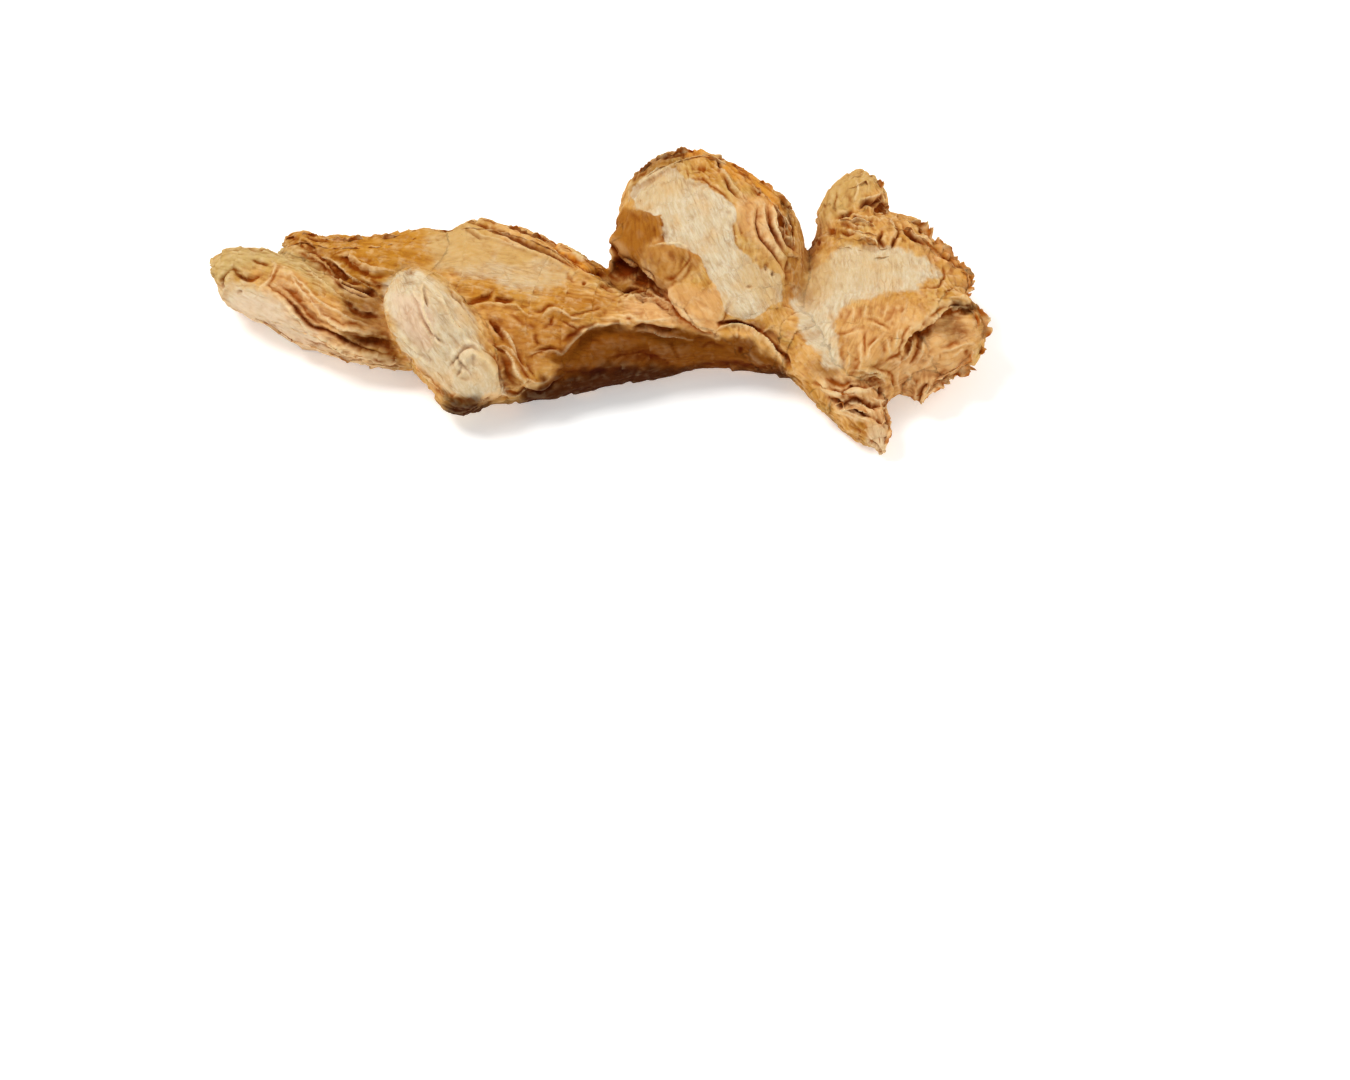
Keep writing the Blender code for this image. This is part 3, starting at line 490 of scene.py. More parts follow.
# %% Folds of the upright lobe
UPRIGHT_LOBE_FOLDS = [
    ("lip", 1.1, 1.4, [(1, 15.2), (2.6, 14), (4.2, 12.3), (5.5, 10.6), (6.8, 9.7)]),
    ("lip", 1.0, 1.2, [(6.8, 11), (7.7, 9.5), (9, 7.9), (10.6, 6.3)]),
    ("lip", 0.5, 0.6, [(10.6, 6.3), (11.8, 7.4), (13.7, 8.5), (14.7, 10.2)]),
    ("crease", 0.15, 0.6, [(10.2, 11.9), (9.7, 10), (10, 8.1)]),
    ("crease", 0.15, 0.6, [(11.8, 11.9), (12.1, 9.8), (11.5, 7.7)]),
    ("crease", 0.15, 0.6, [(13.7, 12.1), (13.4, 10.2), (12.4, 8.2)]),
    ("lip", 0.35, 0.6, [(10.3, 13.4), (10.5, 14.8), (10, 16.8), (9.7, 18.9)]),
    ("crease", 0.15, 0.6, [(9.4, 16.8), (9.2, 15.2), (10, 13.9)]),
    ("lip", 0.8, 0.8, [(11, 6.8), (11.8, 4.8), (13.1, 3.1), (14.8, 1.5), (16.9, -0.2), (18.7, -0.8)]),
    ("lip", 0.4, 0.6, [(18.7, -0.8), (19.5, 1.3), (20.3, 3.2), (21.3, 4.5)]),
    ("lip", 0.2, 0.8, [(5, 21.3), (6.1, 22.9), (7.6, 23.9), (9.2, 24.8), (10.8, 25.6), (12.6, 26.1)]),
    ("crease", 0.6, 0.5, [(5.5, 24.2), (6.5, 25.3), (8.1, 26.5), (8.9, 27.3)]),
    ("crease", 0.7, 0.7, [(8.7, 27.4), (11.3, 27.7), (14.2, 27.9)]),
    ("lip", 0.35, 0.5, [(12.6, 26.3), (13.9, 25.3), (14.8, 24), (16.1, 23.5), (17.1, 23.7), (18.7, 22.4),
                        (20.3, 21), (21.6, 19.7)]),
    ("lip", 0.35, 0.5, [(21.6, 19.7), (21.1, 18.1), (21.6, 16.1), (21.9, 14.5), (22.7, 12.9)]),
    ("crease", 0.9, 0.6, [(19.5, 27.6), (19.7, 25.3)]),
    ("crease", 1.0, 0.6, [(21.9, 26.3), (23.1, 25.3), (24.4, 24.5)]),
    ("crease", 0.7, 0.6, [(20.3, 24.2), (21.1, 22.7), (22.4, 20.8)]),
    ("crease", 1.0, 0.7, [(25.6, 19.4), (25.5, 17.7), (25.6, 16), (26.1, 14.5), (27.1, 13.2), (28.1, 12.3),
                          (28.9, 11.3), (29.5, 10), (30, 8.9)]),
    ("ridge", 0.8, 1.1, [(26.5, 20), (26.4, 18.1), (26.7, 16.5), (27.2, 14.5), (28.1, 12.9), (29.2, 11.8),
                         (30, 10.8)]),
    ("crease", 0.4, 0.6, [(27.3, 19.4), (27.4, 17.7), (27.6, 16.1), (28.4, 14.5), (29.2, 13.2),
                          (30.2, 11.9)]),
    ("ridge", 0.6, 0.9, [(28.2, 19.7), (28.4, 17.7), (28.7, 15.8), (29.5, 14), (30.5, 12.9)]),
    ("crease", 1.7, 0.9, [(29.2, 19.8), (29.2, 18.1), (29.4, 16.5), (30, 14.5), (30.8, 13.2),
                          (31.8, 12.1)]),
    ("ridge", 0.7, 0.5, [(29.9, 17.7), (29.9, 16.5), (30.5, 14.8), (31.3, 13.2)]),
    ("crease", 0.6, 0.7, [(30, 11), (30.3, 9), (30, 6.9)]),
    ("shade_line", 1.0, 0.6, [(5.3, 21.1), (6.5, 22.7), (8.4, 24), (10.3, 25.2)]),
    ("shade_line", 1.0, 0.8, [(5.5, 23.5), (6.8, 24.8), (8.4, 25.5)]),
    ("shade_line", 0.7, 0.6, [(10, 27.4), (12.3, 27.7), (14.8, 27.4)]),
    ("shade_line", 0.8, 0.6, [(13.2, 28.7), (15.2, 28.4), (16.5, 27.4)]),
    ("shade_line", 1.0, 0.4, [(19.5, 27.7), (19.5, 25.3)]),
    ("shade_line", 1.0, 0.5, [(13.7, 26.3), (14.5, 24.8), (15.3, 23.9), (16.9, 23.9), (18.1, 23.1), (19.4, 21.8),
                         (20.6, 20.6), (21.8, 19.5)]),
    ("shade_line", 0.8, 0.9, [(16, 25.8), (17.6, 25.5)]),
    ("shade_line", 1.0, 0.6, [(22.1, 26.1), (23.2, 25.3), (24.4, 24.7)]),
    ("shade_line", 0.7, 0.5, [(20.8, 23.5), (21.6, 22.1), (22.4, 21)]),
    ("shade_line", 1.0, 0.7, [(25, 22.7), (25.6, 21.6), (26.6, 21.1)]),
    ("shade_line", 0.7, 0.5, [(21.3, 18.9), (20.8, 17.7)]),
    ("shade_line", 0.8, 0.4, [(21.6, 17.1), (21.8, 14.8), (22.3, 13.4), (23.2, 12.3)]),
    ("shade_line", 0.8, 0.5, [(25.6, 19.4), (25.5, 17.7), (25.6, 16), (26.1, 14.5), (27.1, 13.2), (28.1, 12.3),
                         (28.9, 11.3), (29.5, 10), (30, 8.9), (30.2, 7.4)]),
    ("shade_line", 0.45, 0.5, [(27.3, 19.4), (27.4, 17.7), (27.6, 16.1), (28.4, 14.5), (29.2, 13.2)]),
    ("shade_line", 1.0, 0.9, [(29.2, 19.8), (29.2, 18.1), (29.4, 16.5), (30, 14.5), (30.8, 13.2), (31.8, 12.1)]),
    ("shade_line", 1.0, 0.6, [(30.8, 17.4), (31.1, 15.8), (31, 14.5)]),
    ("shade_line", 0.8, 0.5, [(29.8, 19), (30.8, 19.7), (31.3, 18.9)]),
    ("shade_line", 0.7, 0.6, [(26.5, 10.2), (27.4, 9.2)]),
    ("shade_line", 0.8, 0.4, [(27.9, 8.7), (28.4, 8.5)]),
    ("shade_line", 0.6, 0.4, [(23.9, 6.6), (24.7, 6.5)]),
    ("shade_line", 0.5, 0.5, [(10.6, 16.5), (10.8, 14.7), (9.8, 13.4)]),
    ("shade_line", 0.35, 0.6, [(9.2, 11.6), (10.6, 9.4), (11.3, 8.1)]),
    ("shade_line", 0.35, 0.6, [(11.6, 12.3), (11.5, 10), (11.8, 8.1)]),
    ("shade_line", 0.35, 0.6, [(13.9, 11.3), (12.7, 9.4), (12.1, 7.9)]),
    ("shade_line", 0.7, 0.4, [(14.5, 13.2), (14.8, 10.8), (13.2, 8.9), (11.2, 7.1)]),
    ("shade_line", 1.0, 0.9, [(10.3, 7.6), (11.5, 7.7), (12.7, 7.9)]),
    ("shade_line", 0.4, 0.6, [(4.5, 19), (5.8, 18.1), (6.8, 16.5)]),
    ("ridge", 0.6, 0.5, [(6.8, 23.5), (8.7, 24.8), (11, 25.8), (13.2, 26.3), (14.5, 25.8)]),
    ("ridge", 0.6, 0.5, [(5.8, 24.8), (7.7, 26.5), (10.3, 27.7), (13.2, 28.7), (15.8, 29)]),
    ("ridge", 0.6, 0.5, [(18.4, 26.5), (20.3, 24.8), (21.6, 22.9), (23.2, 21.3)]),
    ("ridge", 0.5, 0.5, [(20.6, 26.1), (22.6, 24.2), (24.5, 23.2), (26.1, 21.6), (27.7, 20.6)]),
    ("ridge", 0.5, 0.4, [(8.4, 13.1), (10.3, 13.4), (12.6, 13.4), (14.8, 12.6)]),
]

# %% Folds of the bud on the right lobe, and of the scales under it
TOP_BUD_FOLDS = [
    ("crease", 1.5, 0.7, [(42.1, 19.4), (43.2, 20.2), (44.4, 20), (45.2, 21), (45.8, 21.8)]),
    ("crease", 0.8, 0.6, [(45.5, 20.5), (46.5, 19.8), (47.3, 20.5)]),
    ("crease", 0.8, 0.8, [(38.2, 17.9), (39.8, 18.1), (41.3, 18.7)]),
    ("ridge", 0.6, 0.7, [(38.4, 17.3), (40, 17.1), (41.6, 16.3), (43.2, 16)]),
    ("crease", 0.6, 0.5, [(38.7, 15.6), (40, 15.2), (41.3, 15.2)]),
    ("ridge", 0.5, 0.8, [(39.4, 16), (41, 15.6), (42.3, 14.8), (43.9, 14.4), (45.2, 14.2)]),
    ("crease", 1.1, 0.7, [(45.6, 15.8), (45.2, 14.2), (46.1, 13.1)]),
    ("crease", 0.7, 0.6, [(47.7, 16.6), (48.4, 15.3), (47.7, 14), (46.9, 12.7)]),
    ("shade_line", 0.6, 0.5, [(37.6, 20.5), (37.9, 18.1)]),
    ("shade_line", 0.5, 0.7, [(39.8, 22.9), (40.6, 20.3), (40, 18.4)]),
    ("shade_line", 0.8, 0.5, [(37.9, 17.9), (39.8, 18.2), (41.1, 18.9)]),
    ("shade_line", 1.0, 0.7, [(42.3, 19.7), (43.2, 20.5), (44.5, 20.2), (45.6, 21.5)]),
    ("shade_line", 1.0, 0.7, [(46.1, 19.8), (46.8, 18.7)]),
    ("shade_line", 0.9, 0.5, [(41.3, 17.9), (42.3, 17.6)]),
    ("shade_line", 0.9, 0.4, [(43.2, 17.1), (44, 16.8)]),
    ("shade_line", 0.6, 0.5, [(38.7, 16.8), (40.6, 16.5), (42.7, 16.3)]),
    ("shade_line", 0.6, 0.4, [(38.7, 15.5), (41, 15.2)]),
    ("shade_line", 0.9, 0.8, [(37.3, 16.3), (37.7, 14.7)]),
    ("shade_line", 0.7, 0.5, [(35, 14.5), (35.5, 13.4)]),
    ("shade_line", 0.9, 0.5, [(45.6, 15.3), (45.5, 14), (46.3, 13.2)]),
    ("shade_line", 0.8, 0.5, [(47.7, 14.8), (47.3, 13.1)]),
    ("ridge", 0.6, 0.4, [(40.6, 18.4), (42.9, 17.9), (45.2, 17.1), (47.1, 17.4), (48.1, 18.4)]),
    ("ridge", 0.5, 0.4, [(38.1, 17.3), (40.3, 17.4), (42.3, 16.8), (44.8, 16.1)]),
    ("ridge", 0.5, 0.4, [(42.6, 20.5), (44.2, 21.3), (45.8, 22.3)]),
    ("shade_line", 0.5, 0.5, [(37.2, 21.8), (36.6, 19.5), (36.3, 17.6)]),
    ("crease", 0.4, 0.5, [(38.6, 22.6), (38.2, 20.4), (38.3, 18.7)]),
    ("ridge", 0.5, 0.6, [(41.5, 24.2), (41.8, 22.3), (41.2, 20.4)]),
]

# %% Folds of the right lobe
RIGHT_LOBE_FOLDS = [
    ("crease", 1.0, 0.7, [(48.9, 16.6), (49.4, 15.5), (50.3, 14.5), (51.6, 13.9), (52.7, 13.4)]),
    ("ridge", 0.5, 0.7, [(50, 15.8), (51, 14.8), (52.6, 14.5), (53.5, 13.5)]),
    ("crease", 1.0, 0.6, [(53.5, 13.2), (54.8, 11.9), (56.1, 11.1), (57.6, 10.3), (58.9, 10)]),
    ("ridge", 0.6, 0.6, [(54.2, 13.5), (55.8, 12.3), (57.4, 11.3), (59.2, 10.8)]),
    ("crease", 0.3, 0.4, [(55.2, 10), (55.6, 8.4), (54.8, 7.1), (53.2, 6.6), (51, 6.5)]),
    ("shade_line", 0.9, 0.5, [(49.2, 16.9), (49.7, 15.6), (50.6, 14.5), (52.4, 13.5)]),
    ("shade_line", 1, 0.5, [(51.5, 16), (52.4, 15.6)]),
    ("shade_line", 0.9, 0.5, [(53.9, 13.5), (54.8, 12.4), (56.1, 11.3), (57.7, 10)]),
    ("shade_line", 0.9, 0.6, [(58.2, 10.6), (58.9, 9.8)]),
    ("shade_line", 0.8, 0.5, [(60.2, 8.5), (60.6, 7.3)]),
    ("shade_line", 0.9, 0.4, [(55.2, 9.5), (55.5, 7.9), (54.8, 6.9), (53.2, 6.6)]),
    ("lip", 1.0, 1.2, [(48.2, -4.5), (48.7, -2.6), (49.2, -1.1), (50.5, -0.3), (51.8, 0.3), (52.9, 1.8),
                       (54.4, 2.7), (56.1, 3.4), (57.7, 3.5), (59, 3.4), (60.6, 4.4)]),
    ("crease", 1.2, 0.7, [(56.1, 3.2), (57.1, 3.5), (58.1, 3.4)]),
    ("shade_line", 1, 0.9, [(56.3, 3.4), (57.1, 3.7), (57.9, 3.5)]),
    ("shade_line", 1, 0.5, [(58.1, 3.4), (59.2, 3.4), (60, 4), (60.3, 4.4)]),
    ("shade_line", 1, 0.5, [(55.8, 3.1), (54.8, 2.9), (54, 2.4), (53.4, 1.9), (52.6, 1.6)]),
    ("shade_line", 0.68, 0.8, [(52.4, 1.6), (52.1, 0.8), (51.6, 0.2)]),
    ("shade_line", 0.8, 0.45, [
        (51.5, -0.2), (50.3, -0.2), (49.5, -0.3), (48.9, -1), (48.7, -1.8), (48.5, -2.6), (48.1, -3.5),
        (47.9, -4.4), (47.1, -4.7), (46.1, -5), (45.2, -5.6), (43.9, -6.3), (42.6, -6.6)]),
    ("shade_line", 0.52, 1.4, [(55.2, 4.8), (54, 4.4), (52.9, 3.4), (52.1, 2.1)]),
    ("shade_line", 0.75, 0.5, [(57.6, 6), (56.5, 5.8), (55.6, 5.2), (55.3, 4.2)]),
    ("ridge", 0.6, 0.5, [(56, 4.5), (56.9, 4.8), (58.4, 4.8), (59.5, 4.5)]),
    ("ridge", 0.5, 0.7, [(55.6, 2.6), (54.2, 1.8), (53.1, 0.8), (52.4, -0.6)]),
    ("ridge", 0.5, 0.7, [(49.7, -1), (50, -2.4), (49.7, -4), (48.5, -5.2), (47.1, -5.8)]),
    ("shade_line", 0.9, 0.4, [(51.1, -1.1), (51, -2.4), (50.8, -3.7), (50.3, -4.8), (49.4, -6)]),
    ("ridge", 0.4, 0.6, [(51.9, -1), (51.8, -2.6), (51.5, -4.2), (50.6, -5.8)]),
    ("shade_line", 0.45, 0.8, [(39.7, 3.4), (39.8, 2.1), (39.5, 0.5)]),
    ("shade_line", 0.45, 0.7, [(41.9, 3.4), (41.8, 2.1), (41.1, 1.1)]),
    ("shade_line", 0.34, 0.7, [(38.4, 2.7), (38.9, 1.6), (39.4, 0.6)]),
    ("shade_line", 0.29, 0.7, [(43.5, 3.7), (43.5, 2.4), (43.2, 1.5)]),
    ("shade_line", 0.34, 0.7, [(45, 3.9), (45.2, 2.6), (45, 1.5)]),
    ("shade_line", 0.6, 1.0, [(47.7, 3.2), (46.9, 2.1), (46, 0.8)]),
    ("shade_line", 0.45, 0.6, [(48.9, 3.2), (48.4, 1.9)]),
    ("shade_line", 0.45, 0.6, [(47.1, 1.1), (47.3, 0)]),
    ("shade_line", 0.52, 0.5, [(42.7, 1.1), (44, 1), (45.2, 0.6), (46.1, 0.2), (46.9, -0.6)]),
    ("ridge", 0.3, 0.6, [(40.6, 3.5), (40.8, 1.9), (40.5, 0.3)]),
    ("ridge", 0.3, 0.6, [(42.7, 3.9), (42.7, 2.6), (42.4, 1.3)]),
    ("ridge", 0.25, 0.6, [(46.1, 4), (46, 2.7), (45.5, 1.6)]),
    ("ridge", 0.25, 0.6, [(49.7, 3.9), (49, 2.4), (48.4, 1)]),
    ("ridge", 0.25, 0.6, [(42.9, 0.3), (44.5, 0.2), (46.1, -0.5)]),
    ("shade_line", 0.75, 0.4, [(42.4, 0.2), (42.4, -1.1), (42.6, -2.6), (42.6, -4), (42.4, -5.2)]),
    ("shade_line", 0.45, 0.4, [(42.3, 0), (40.8, -0.5), (39.4, -1), (37.9, -1.1)]),
    ("ridge", 0.25, 0.6, [(41.9, -0.8), (40.3, -1.3), (38.7, -1.6)]),
    ("shade_line", 0.56, 0.8, [(40.6, -2.4), (41, -3.5), (41.3, -5), (41, -6.5), (40.5, -7.9), (40, -9)]),
    ("ridge", 0.35, 0.7, [(41.8, -2.4), (41.9, -4), (41.8, -5.8), (41.5, -7.3)]),
    ("ridge", 0.3, 0.7, [(39.7, -3.2), (40, -4.8), (39.8, -6.5), (39.4, -7.7)]),
    ("shade_line", 0.6, 0.45, [(43.1, -3.4), (43.9, -2.4), (44.8, -1.3)]),
    ("ridge", 0.5, 0.5, [(43.1, -5), (43.5, -3.7), (44.4, -2.6), (45.3, -1.6)]),
    ("shade_line", 0.45, 0.45, [(45.2, -2.1), (45.5, -3.4), (45.6, -4.7)]),
    ("ridge", 0.35, 0.5, [(46.1, -1.8), (46.3, -3.2), (46.3, -4.4)]),
    ("shade_line", 0.45, 0.45, [(46.8, -1.3), (46.9, -2.6)]),
    ("ridge", 0.45, 0.5, [(47.9, -0.6), (47.7, -2.1), (47.1, -3.5)]),
    ("shade_line", 0.52, 0.45, [(36.8, 3.5), (37.1, 1.9), (37.4, 0.3), (37.6, -1)]),
    ("shade_line", 0.45, 0.5, [(38.7, -3.2), (39, -5.2), (38.9, -6.8)]),
    ("shade_line", 0.75, 0.5, [(44, -6.5), (45.3, -6.9), (46.5, -7.7), (46.8, -9), (46.1, -10.2)]),
    ("ridge", 0.5, 0.6, [(40.8, -8.5), (41.9, -7.6), (43.2, -6.9), (44.7, -6.9), (46, -8.1)]),
    ("shade_line", 0.35, 1.4, [(42.6, -9), (43.9, -8.7), (45.3, -9)]),
    ("shade_line", 0.4, 0.5, [(41.6, -10), (43.1, -9.8), (44.8, -9.8)]),
    ("shade_line", 0.6, 0.5, [(44.7, -10.2), (45, -11)]),
]

# %% Folds of the right knob and its spur
RIGHT_KNOB_FOLDS = [
    ("shade_line", 0.45, 1.6, [(55.8, -0.3), (56.9, 0.6), (58.1, 0), (58.7, -1.1), (57.4, -1.8)]),
    ("shade_line", 0.6, 0.6, [(54.2, -3.2), (55.5, -3.1), (56.6, -2.6), (57.7, -2.3)]),
    ("ridge", 0.4, 0.6, [(54.5, -3.9), (56, -3.7), (57.3, -3.2), (58.7, -2.7), (60, -2.7)]),
    ("shade_line", 0.5, 0.6, [(54.2, -4.7), (54.7, -4.7)]),
    ("shade_line", 0.6, 0.6, [(55.2, -5.8), (55.2, -6.9), (54.5, -7.7), (53.2, -7.7), (52.1, -8.2)]),
    ("shade_line", 0.6, 0.5, [(51, -8.2), (50.8, -9)]),
    ("crease", 0.8, 0.6, [(52.6, -9), (51.8, -9.8), (51.3, -11), (51.1, -12.1), (51.5, -12.9)]),
    ("shade_line", 1.0, 0.6, [(52.6, -9), (51.8, -9.8), (51.3, -11), (51.1, -12.1), (51.5, -12.9)]),
    ("ridge", 0.5, 0.5, [(53.1, -9.4), (52.4, -10.3), (51.9, -11.5)]),
    ("shade_line", 0.8, 0.5, [(59, -3.5), (58.7, -4.5)]),
    ("shade_line", 0.7, 0.4, [(59.2, -5.6), (58.4, -6.6), (57.9, -7.7)]),
    ("shade_line", 0.6, 0.4, [(53.5, -9), (54.5, -9), (55.3, -8.9)]),
    ("shade_line", 0.3, 0.7, [(49.2, -8.5), (49.2, -9.7)]),
    ("shade_line", 0.3, 0.7, [(48.5, -9.4), (48.7, -10.6)]),
    ("shade_line", 0.3, 0.7, [(50, -9.4), (50.2, -10.8)]),
    ("ridge", 0.35, 0.7, [(53.5, -4.4), (52.7, -5.8), (51.6, -6.9)]),
    ("ridge", 0.35, 0.7, [(56.3, -4.8), (57.3, -4.4), (58.4, -3.5)]),
    ("ridge", 0.4, 0.6, [(55.8, -7.7), (56.9, -6.8), (57.9, -5.8)]),
    ("shade_line", 0.3, 0.9, [(51.6, -3.2), (52.6, -3.7), (53.7, -3.5)]),
    ("ridge", 0.3, 0.7, [(47.9, -6.8), (47.6, -8.4), (48.1, -10)]),
    ("ridge", 0.3, 0.7, [(49.5, -6.8), (49.7, -8.2), (49.4, -9.8)]),
]

# %% Folds of the stub where the stalk was
STALK_STUB_FOLDS = [
    ("lip", 0.9, 0.8, [(34.4, -8.1), (35.8, -8.5), (37.4, -9), (38.9, -9.7), (40.3, -9), (42.1, -9)]),
    ("ridge", 0.8, 0.9, [(35.2, -8.9), (36.1, -10), (37.7, -10.8), (39.7, -10.8), (41.6, -10.6),
                         (43.5, -10.3)]),
    ("ridge", 0.7, 0.7, [(41.8, -8.4), (43.2, -7.6), (44.8, -7.7), (45.8, -9.2)]),
    ("crease", 0.25, 0.6, [(42.4, -8.9), (44, -8.4), (45.3, -9.7)]),
    ("crease", 1.2, 0.8, [(36.6, -11.5), (38.1, -11.9), (39, -12.6), (40.3, -11.9), (42.1, -11.9)]),
    ("crease", 1.0, 0.7, [(40.5, -11.5), (42.3, -12.3), (43.5, -12.9), (45.2, -12.7)]),
    ("crease", 0.7, 0.5, [(39.8, -12.4), (41.3, -13.2), (42.6, -14.2), (44, -14.5)]),
    ("ridge", 0.6, 0.8, [(37.1, -13.2), (38.7, -13.7), (40.6, -14.5), (42.6, -15.3)]),
    ("crease", 0.8, 0.6, [(44.8, -9.7), (45, -11.5)]),
    ("crease", 0.8, 0.6, [(43.1, -18.1), (44.4, -19.2), (45.5, -20.3)]),
    ("shade_line", 0.9, 0.6, [(35.8, -7.9), (37.7, -8.7), (39, -9.4), (40.6, -9), (42.1, -8.7)]),
    ("shade_line", 0.35, 0.8, [(42.9, -9.4), (44.2, -9.4), (45.2, -9.7)]),
    ("shade_line", 1.0, 0.7, [(36.6, -10.8), (38.1, -11.9), (39.4, -12.7)]),
    ("shade_line", 1.0, 0.6, [(38.4, -11.3), (40.6, -11.3), (42.6, -11.8), (43.5, -13.1), (45, -12.6)]),
    ("shade_line", 0.9, 0.5, [(40.6, -12.4), (41.9, -13.5), (43.1, -14.4)]),
    ("shade_line", 0.7, 0.5, [(43.4, -14.4), (45, -15.2)]),
    ("shade_line", 0.7, 0.5, [(44.8, -9.8), (45.2, -11.5)]),
    ("shade_line", 0.7, 0.5, [(46.1, -14.4), (45.8, -15.5)]),
    ("shade_line", 1.0, 0.5, [(43.2, -18.1), (44.4, -19.2), (45.5, -20.2)]),
    ("shade_line", 0.5, 0.8, [(40, -15.2), (41.6, -16.5), (42.6, -18.4)]),
    ("ridge", 0.7, 0.5, [(35.5, -8.7), (36.8, -10), (38.7, -10.6), (41, -10.3), (43.2, -10), (44.5, -9.4)]),
    ("ridge", 0.6, 0.4, [(39, -12.3), (41, -12.1), (42.6, -12.7), (43.9, -13.9)]),
    ("ridge", 0.6, 0.4, [(38.1, -12.9), (40, -13.7), (41.6, -14.5), (43.5, -15.3)]),
    ("ridge", 0.5, 0.4, [(43.2, -11), (44.5, -11.9), (46.1, -11.9), (46.8, -10.6)]),
    ("ridge", 0.5, 0.5, [(40.3, -7.1), (42.6, -6.8), (44.8, -7.1), (46.1, -8.1)]),
]

# %% All the folds, and the pits between them
FOLDS = (LEFT_FINGER_FOLDS + BACK_FINGER_FOLDS + FRONT_FINGER_FOLDS + BODY_LEFT_FOLDS
         + BODY_FRONT_FOLDS + BODY_BACK_FOLDS + UPRIGHT_LOBE_FOLDS + TOP_BUD_FOLDS
         + RIGHT_LOBE_FOLDS + RIGHT_KNOB_FOLDS + STALK_STUB_FOLDS)

# Pits: depth, radius, and the place as (across, up).
PITS = [
    (0.4, 0.5, (-29.8, 8.4)), (0.3, 0.4, (-57.3, 5.8)), (0.5, 0.4, (-60.2, 6.8)),
    (0.5, 0.5, (-16.1, -0.2)), (0.8, 0.6, (-8.6, 14.6)), (1.4, 1.6, (4.5, 9.6)),
    (1.2, 1.4, (7.4, 7.6)), (0.4, 0.4, (-2.1, 7.2)), (0.3, 0.4, (22.9, -3.7)),
    (0.5, 0.5, (41.6, 17.7)), (0.4, 0.4, (43.4, 16.9)), (0.3, 0.4, (37.7, 15.8)),
    (0.3, 0.4, (35.3, 14.0)), (0.4, 0.4, (51.9, 15.8)), (0.9, 1.0, (45.4, 19.4)),
    (0.5, 0.4, (59.7, -6.8)), (0.4, 0.4, (54.8, -8.9)), (0.4, 0.4, (44.8, -15.0)),
    (0.4, 0.4, (46.3, -14.8)), (0.4, 0.3, (26.0, 21.6)), (0.4, 0.3, (28.1, 8.5)),
    (0.3, 0.3, (24.0, 6.5)), (0.3, 0.3, (27.1, 9.5)),
]
print("folds:", len(FOLDS), "pits:", len(PITS))

# %% [markdown]
# ## Bending the skin along a line
#
# For each line, every point near it gets its signed distance from the line and its share of the way
# along. The profile of the fold is a formula of that distance. A lip also pulls its edge sideways over
# the groove, which a height alone can't do, and that overhang is what gives dried skin its thin dark
# shadows.
#
# The folds fade where the skin turns away from the view.

# %% Distance from a line
LINE_SAMPLES = 3


def line_places(places, line):
    """For each (across, up): signed distance from the line, left positive, the share along, and left."""
    line = smooth_rows(line, LINE_SAMPLES)
    spans = np.linalg.norm(np.diff(line, axis=0), axis=1)
    starts = np.concatenate([[0], np.cumsum(spans)])
    best = np.full(len(places), np.inf)
    signed = np.zeros(len(places))
    share = np.zeros(len(places))
    left = np.zeros((len(places), 2))
    for a, b, span, start in zip(line[:-1], line[1:], spans, starts):
        direction = (b - a) / span
        away = places - a
        t = np.clip(away @ direction, 0, span)
        gap = away - t[:, None] * direction
        distance = np.hypot(gap[:, 0], gap[:, 1])
        closer = distance < best
        best[closer] = distance[closer]
        side = direction[0] * gap[:, 1] - direction[1] * gap[:, 0]
        signed[closer] = (np.sign(side) * distance)[closer]
        share[closer] = ((start + t) / starts[-1])[closer]
        left[closer] = (-direction[1], direction[0])
    return signed, share, left


# %% The profiles of ridge, shade line, crease and lip
REACH = 5.0
OVERHANG = 0.9
SLIMNESS = {"ridge": 0.60, "crease": 0.60, "lip": 0.75, "shade_line": 0.75}
SHADE_LINE_DEPTH = 0.30
FULL_MARK = {"ridge": 0.8, "crease": 0.8, "lip": 0.8, "shade_line": 1.0}


def hump(w, middle, spread):
    return np.exp(-((w - middle) / spread) ** 2)


def fold_profile(kind, width, signed):
    """Height of the skin, sideways pull towards the right, and the painted highlight and shade there.

    All is measured in the fold's own width, w, so that one formula serves narrow and wide folds.
    """
    w = signed / width
    none = np.zeros_like(w)
    # The last two values are painted light: a highlight on a ridge's crest, and shade in a crease or along a
    # shade line.
    if kind == "ridge":
        return np.exp(-np.abs(w) * 1.5), none, np.exp(-(w * 1.6) ** 2), none
    if kind == "shade_line":
        dark = np.exp(-w ** 2)
        return -SHADE_LINE_DEPTH * dark, none, none, dark
    if kind == "crease":
        shoulder = 0.25 * hump(np.abs(w), 1.7, 0.8)
        return shoulder - 0.8 * np.exp(-np.abs(w) * 1.8), none, none, np.exp(-(w * 1.2) ** 2)
    # A lip: a steep step up at the line, which sinks back to the skin over a few widths.
    step = 1 / (1 + np.exp(-w * 6)) * np.exp(-np.maximum(signed, 0) / (1.2 + 1.4 * width))
    groove = 0.75 * hump(w, -0.8, 0.6)
    pull = OVERHANG * hump(w, 0.2, 0.8)
    # A painted highlight on the lip's edge, and painted shade in the groove under it.
    light = 0.7 * np.exp(-((w - 0.1) * 1.8) ** 2)
    return step - groove, pull, light, hump(w, -1.1, 0.55)


# %% All folds on a set of points
LINE_SHAKES = ((0.38, 3.1), (0.16, 1.1))
FACING_FULL = 0.40
UNEVEN = {"amount": 0.35, "size": 2.2}
FADE_AT_REACH = 1.5
LINE_END = 0.015


def swelling(share, end):
    """Small at both ends of a line and 1 in its middle."""
    return np.sqrt(np.sin(math.pi * np.clip(share, end, 1 - end)))


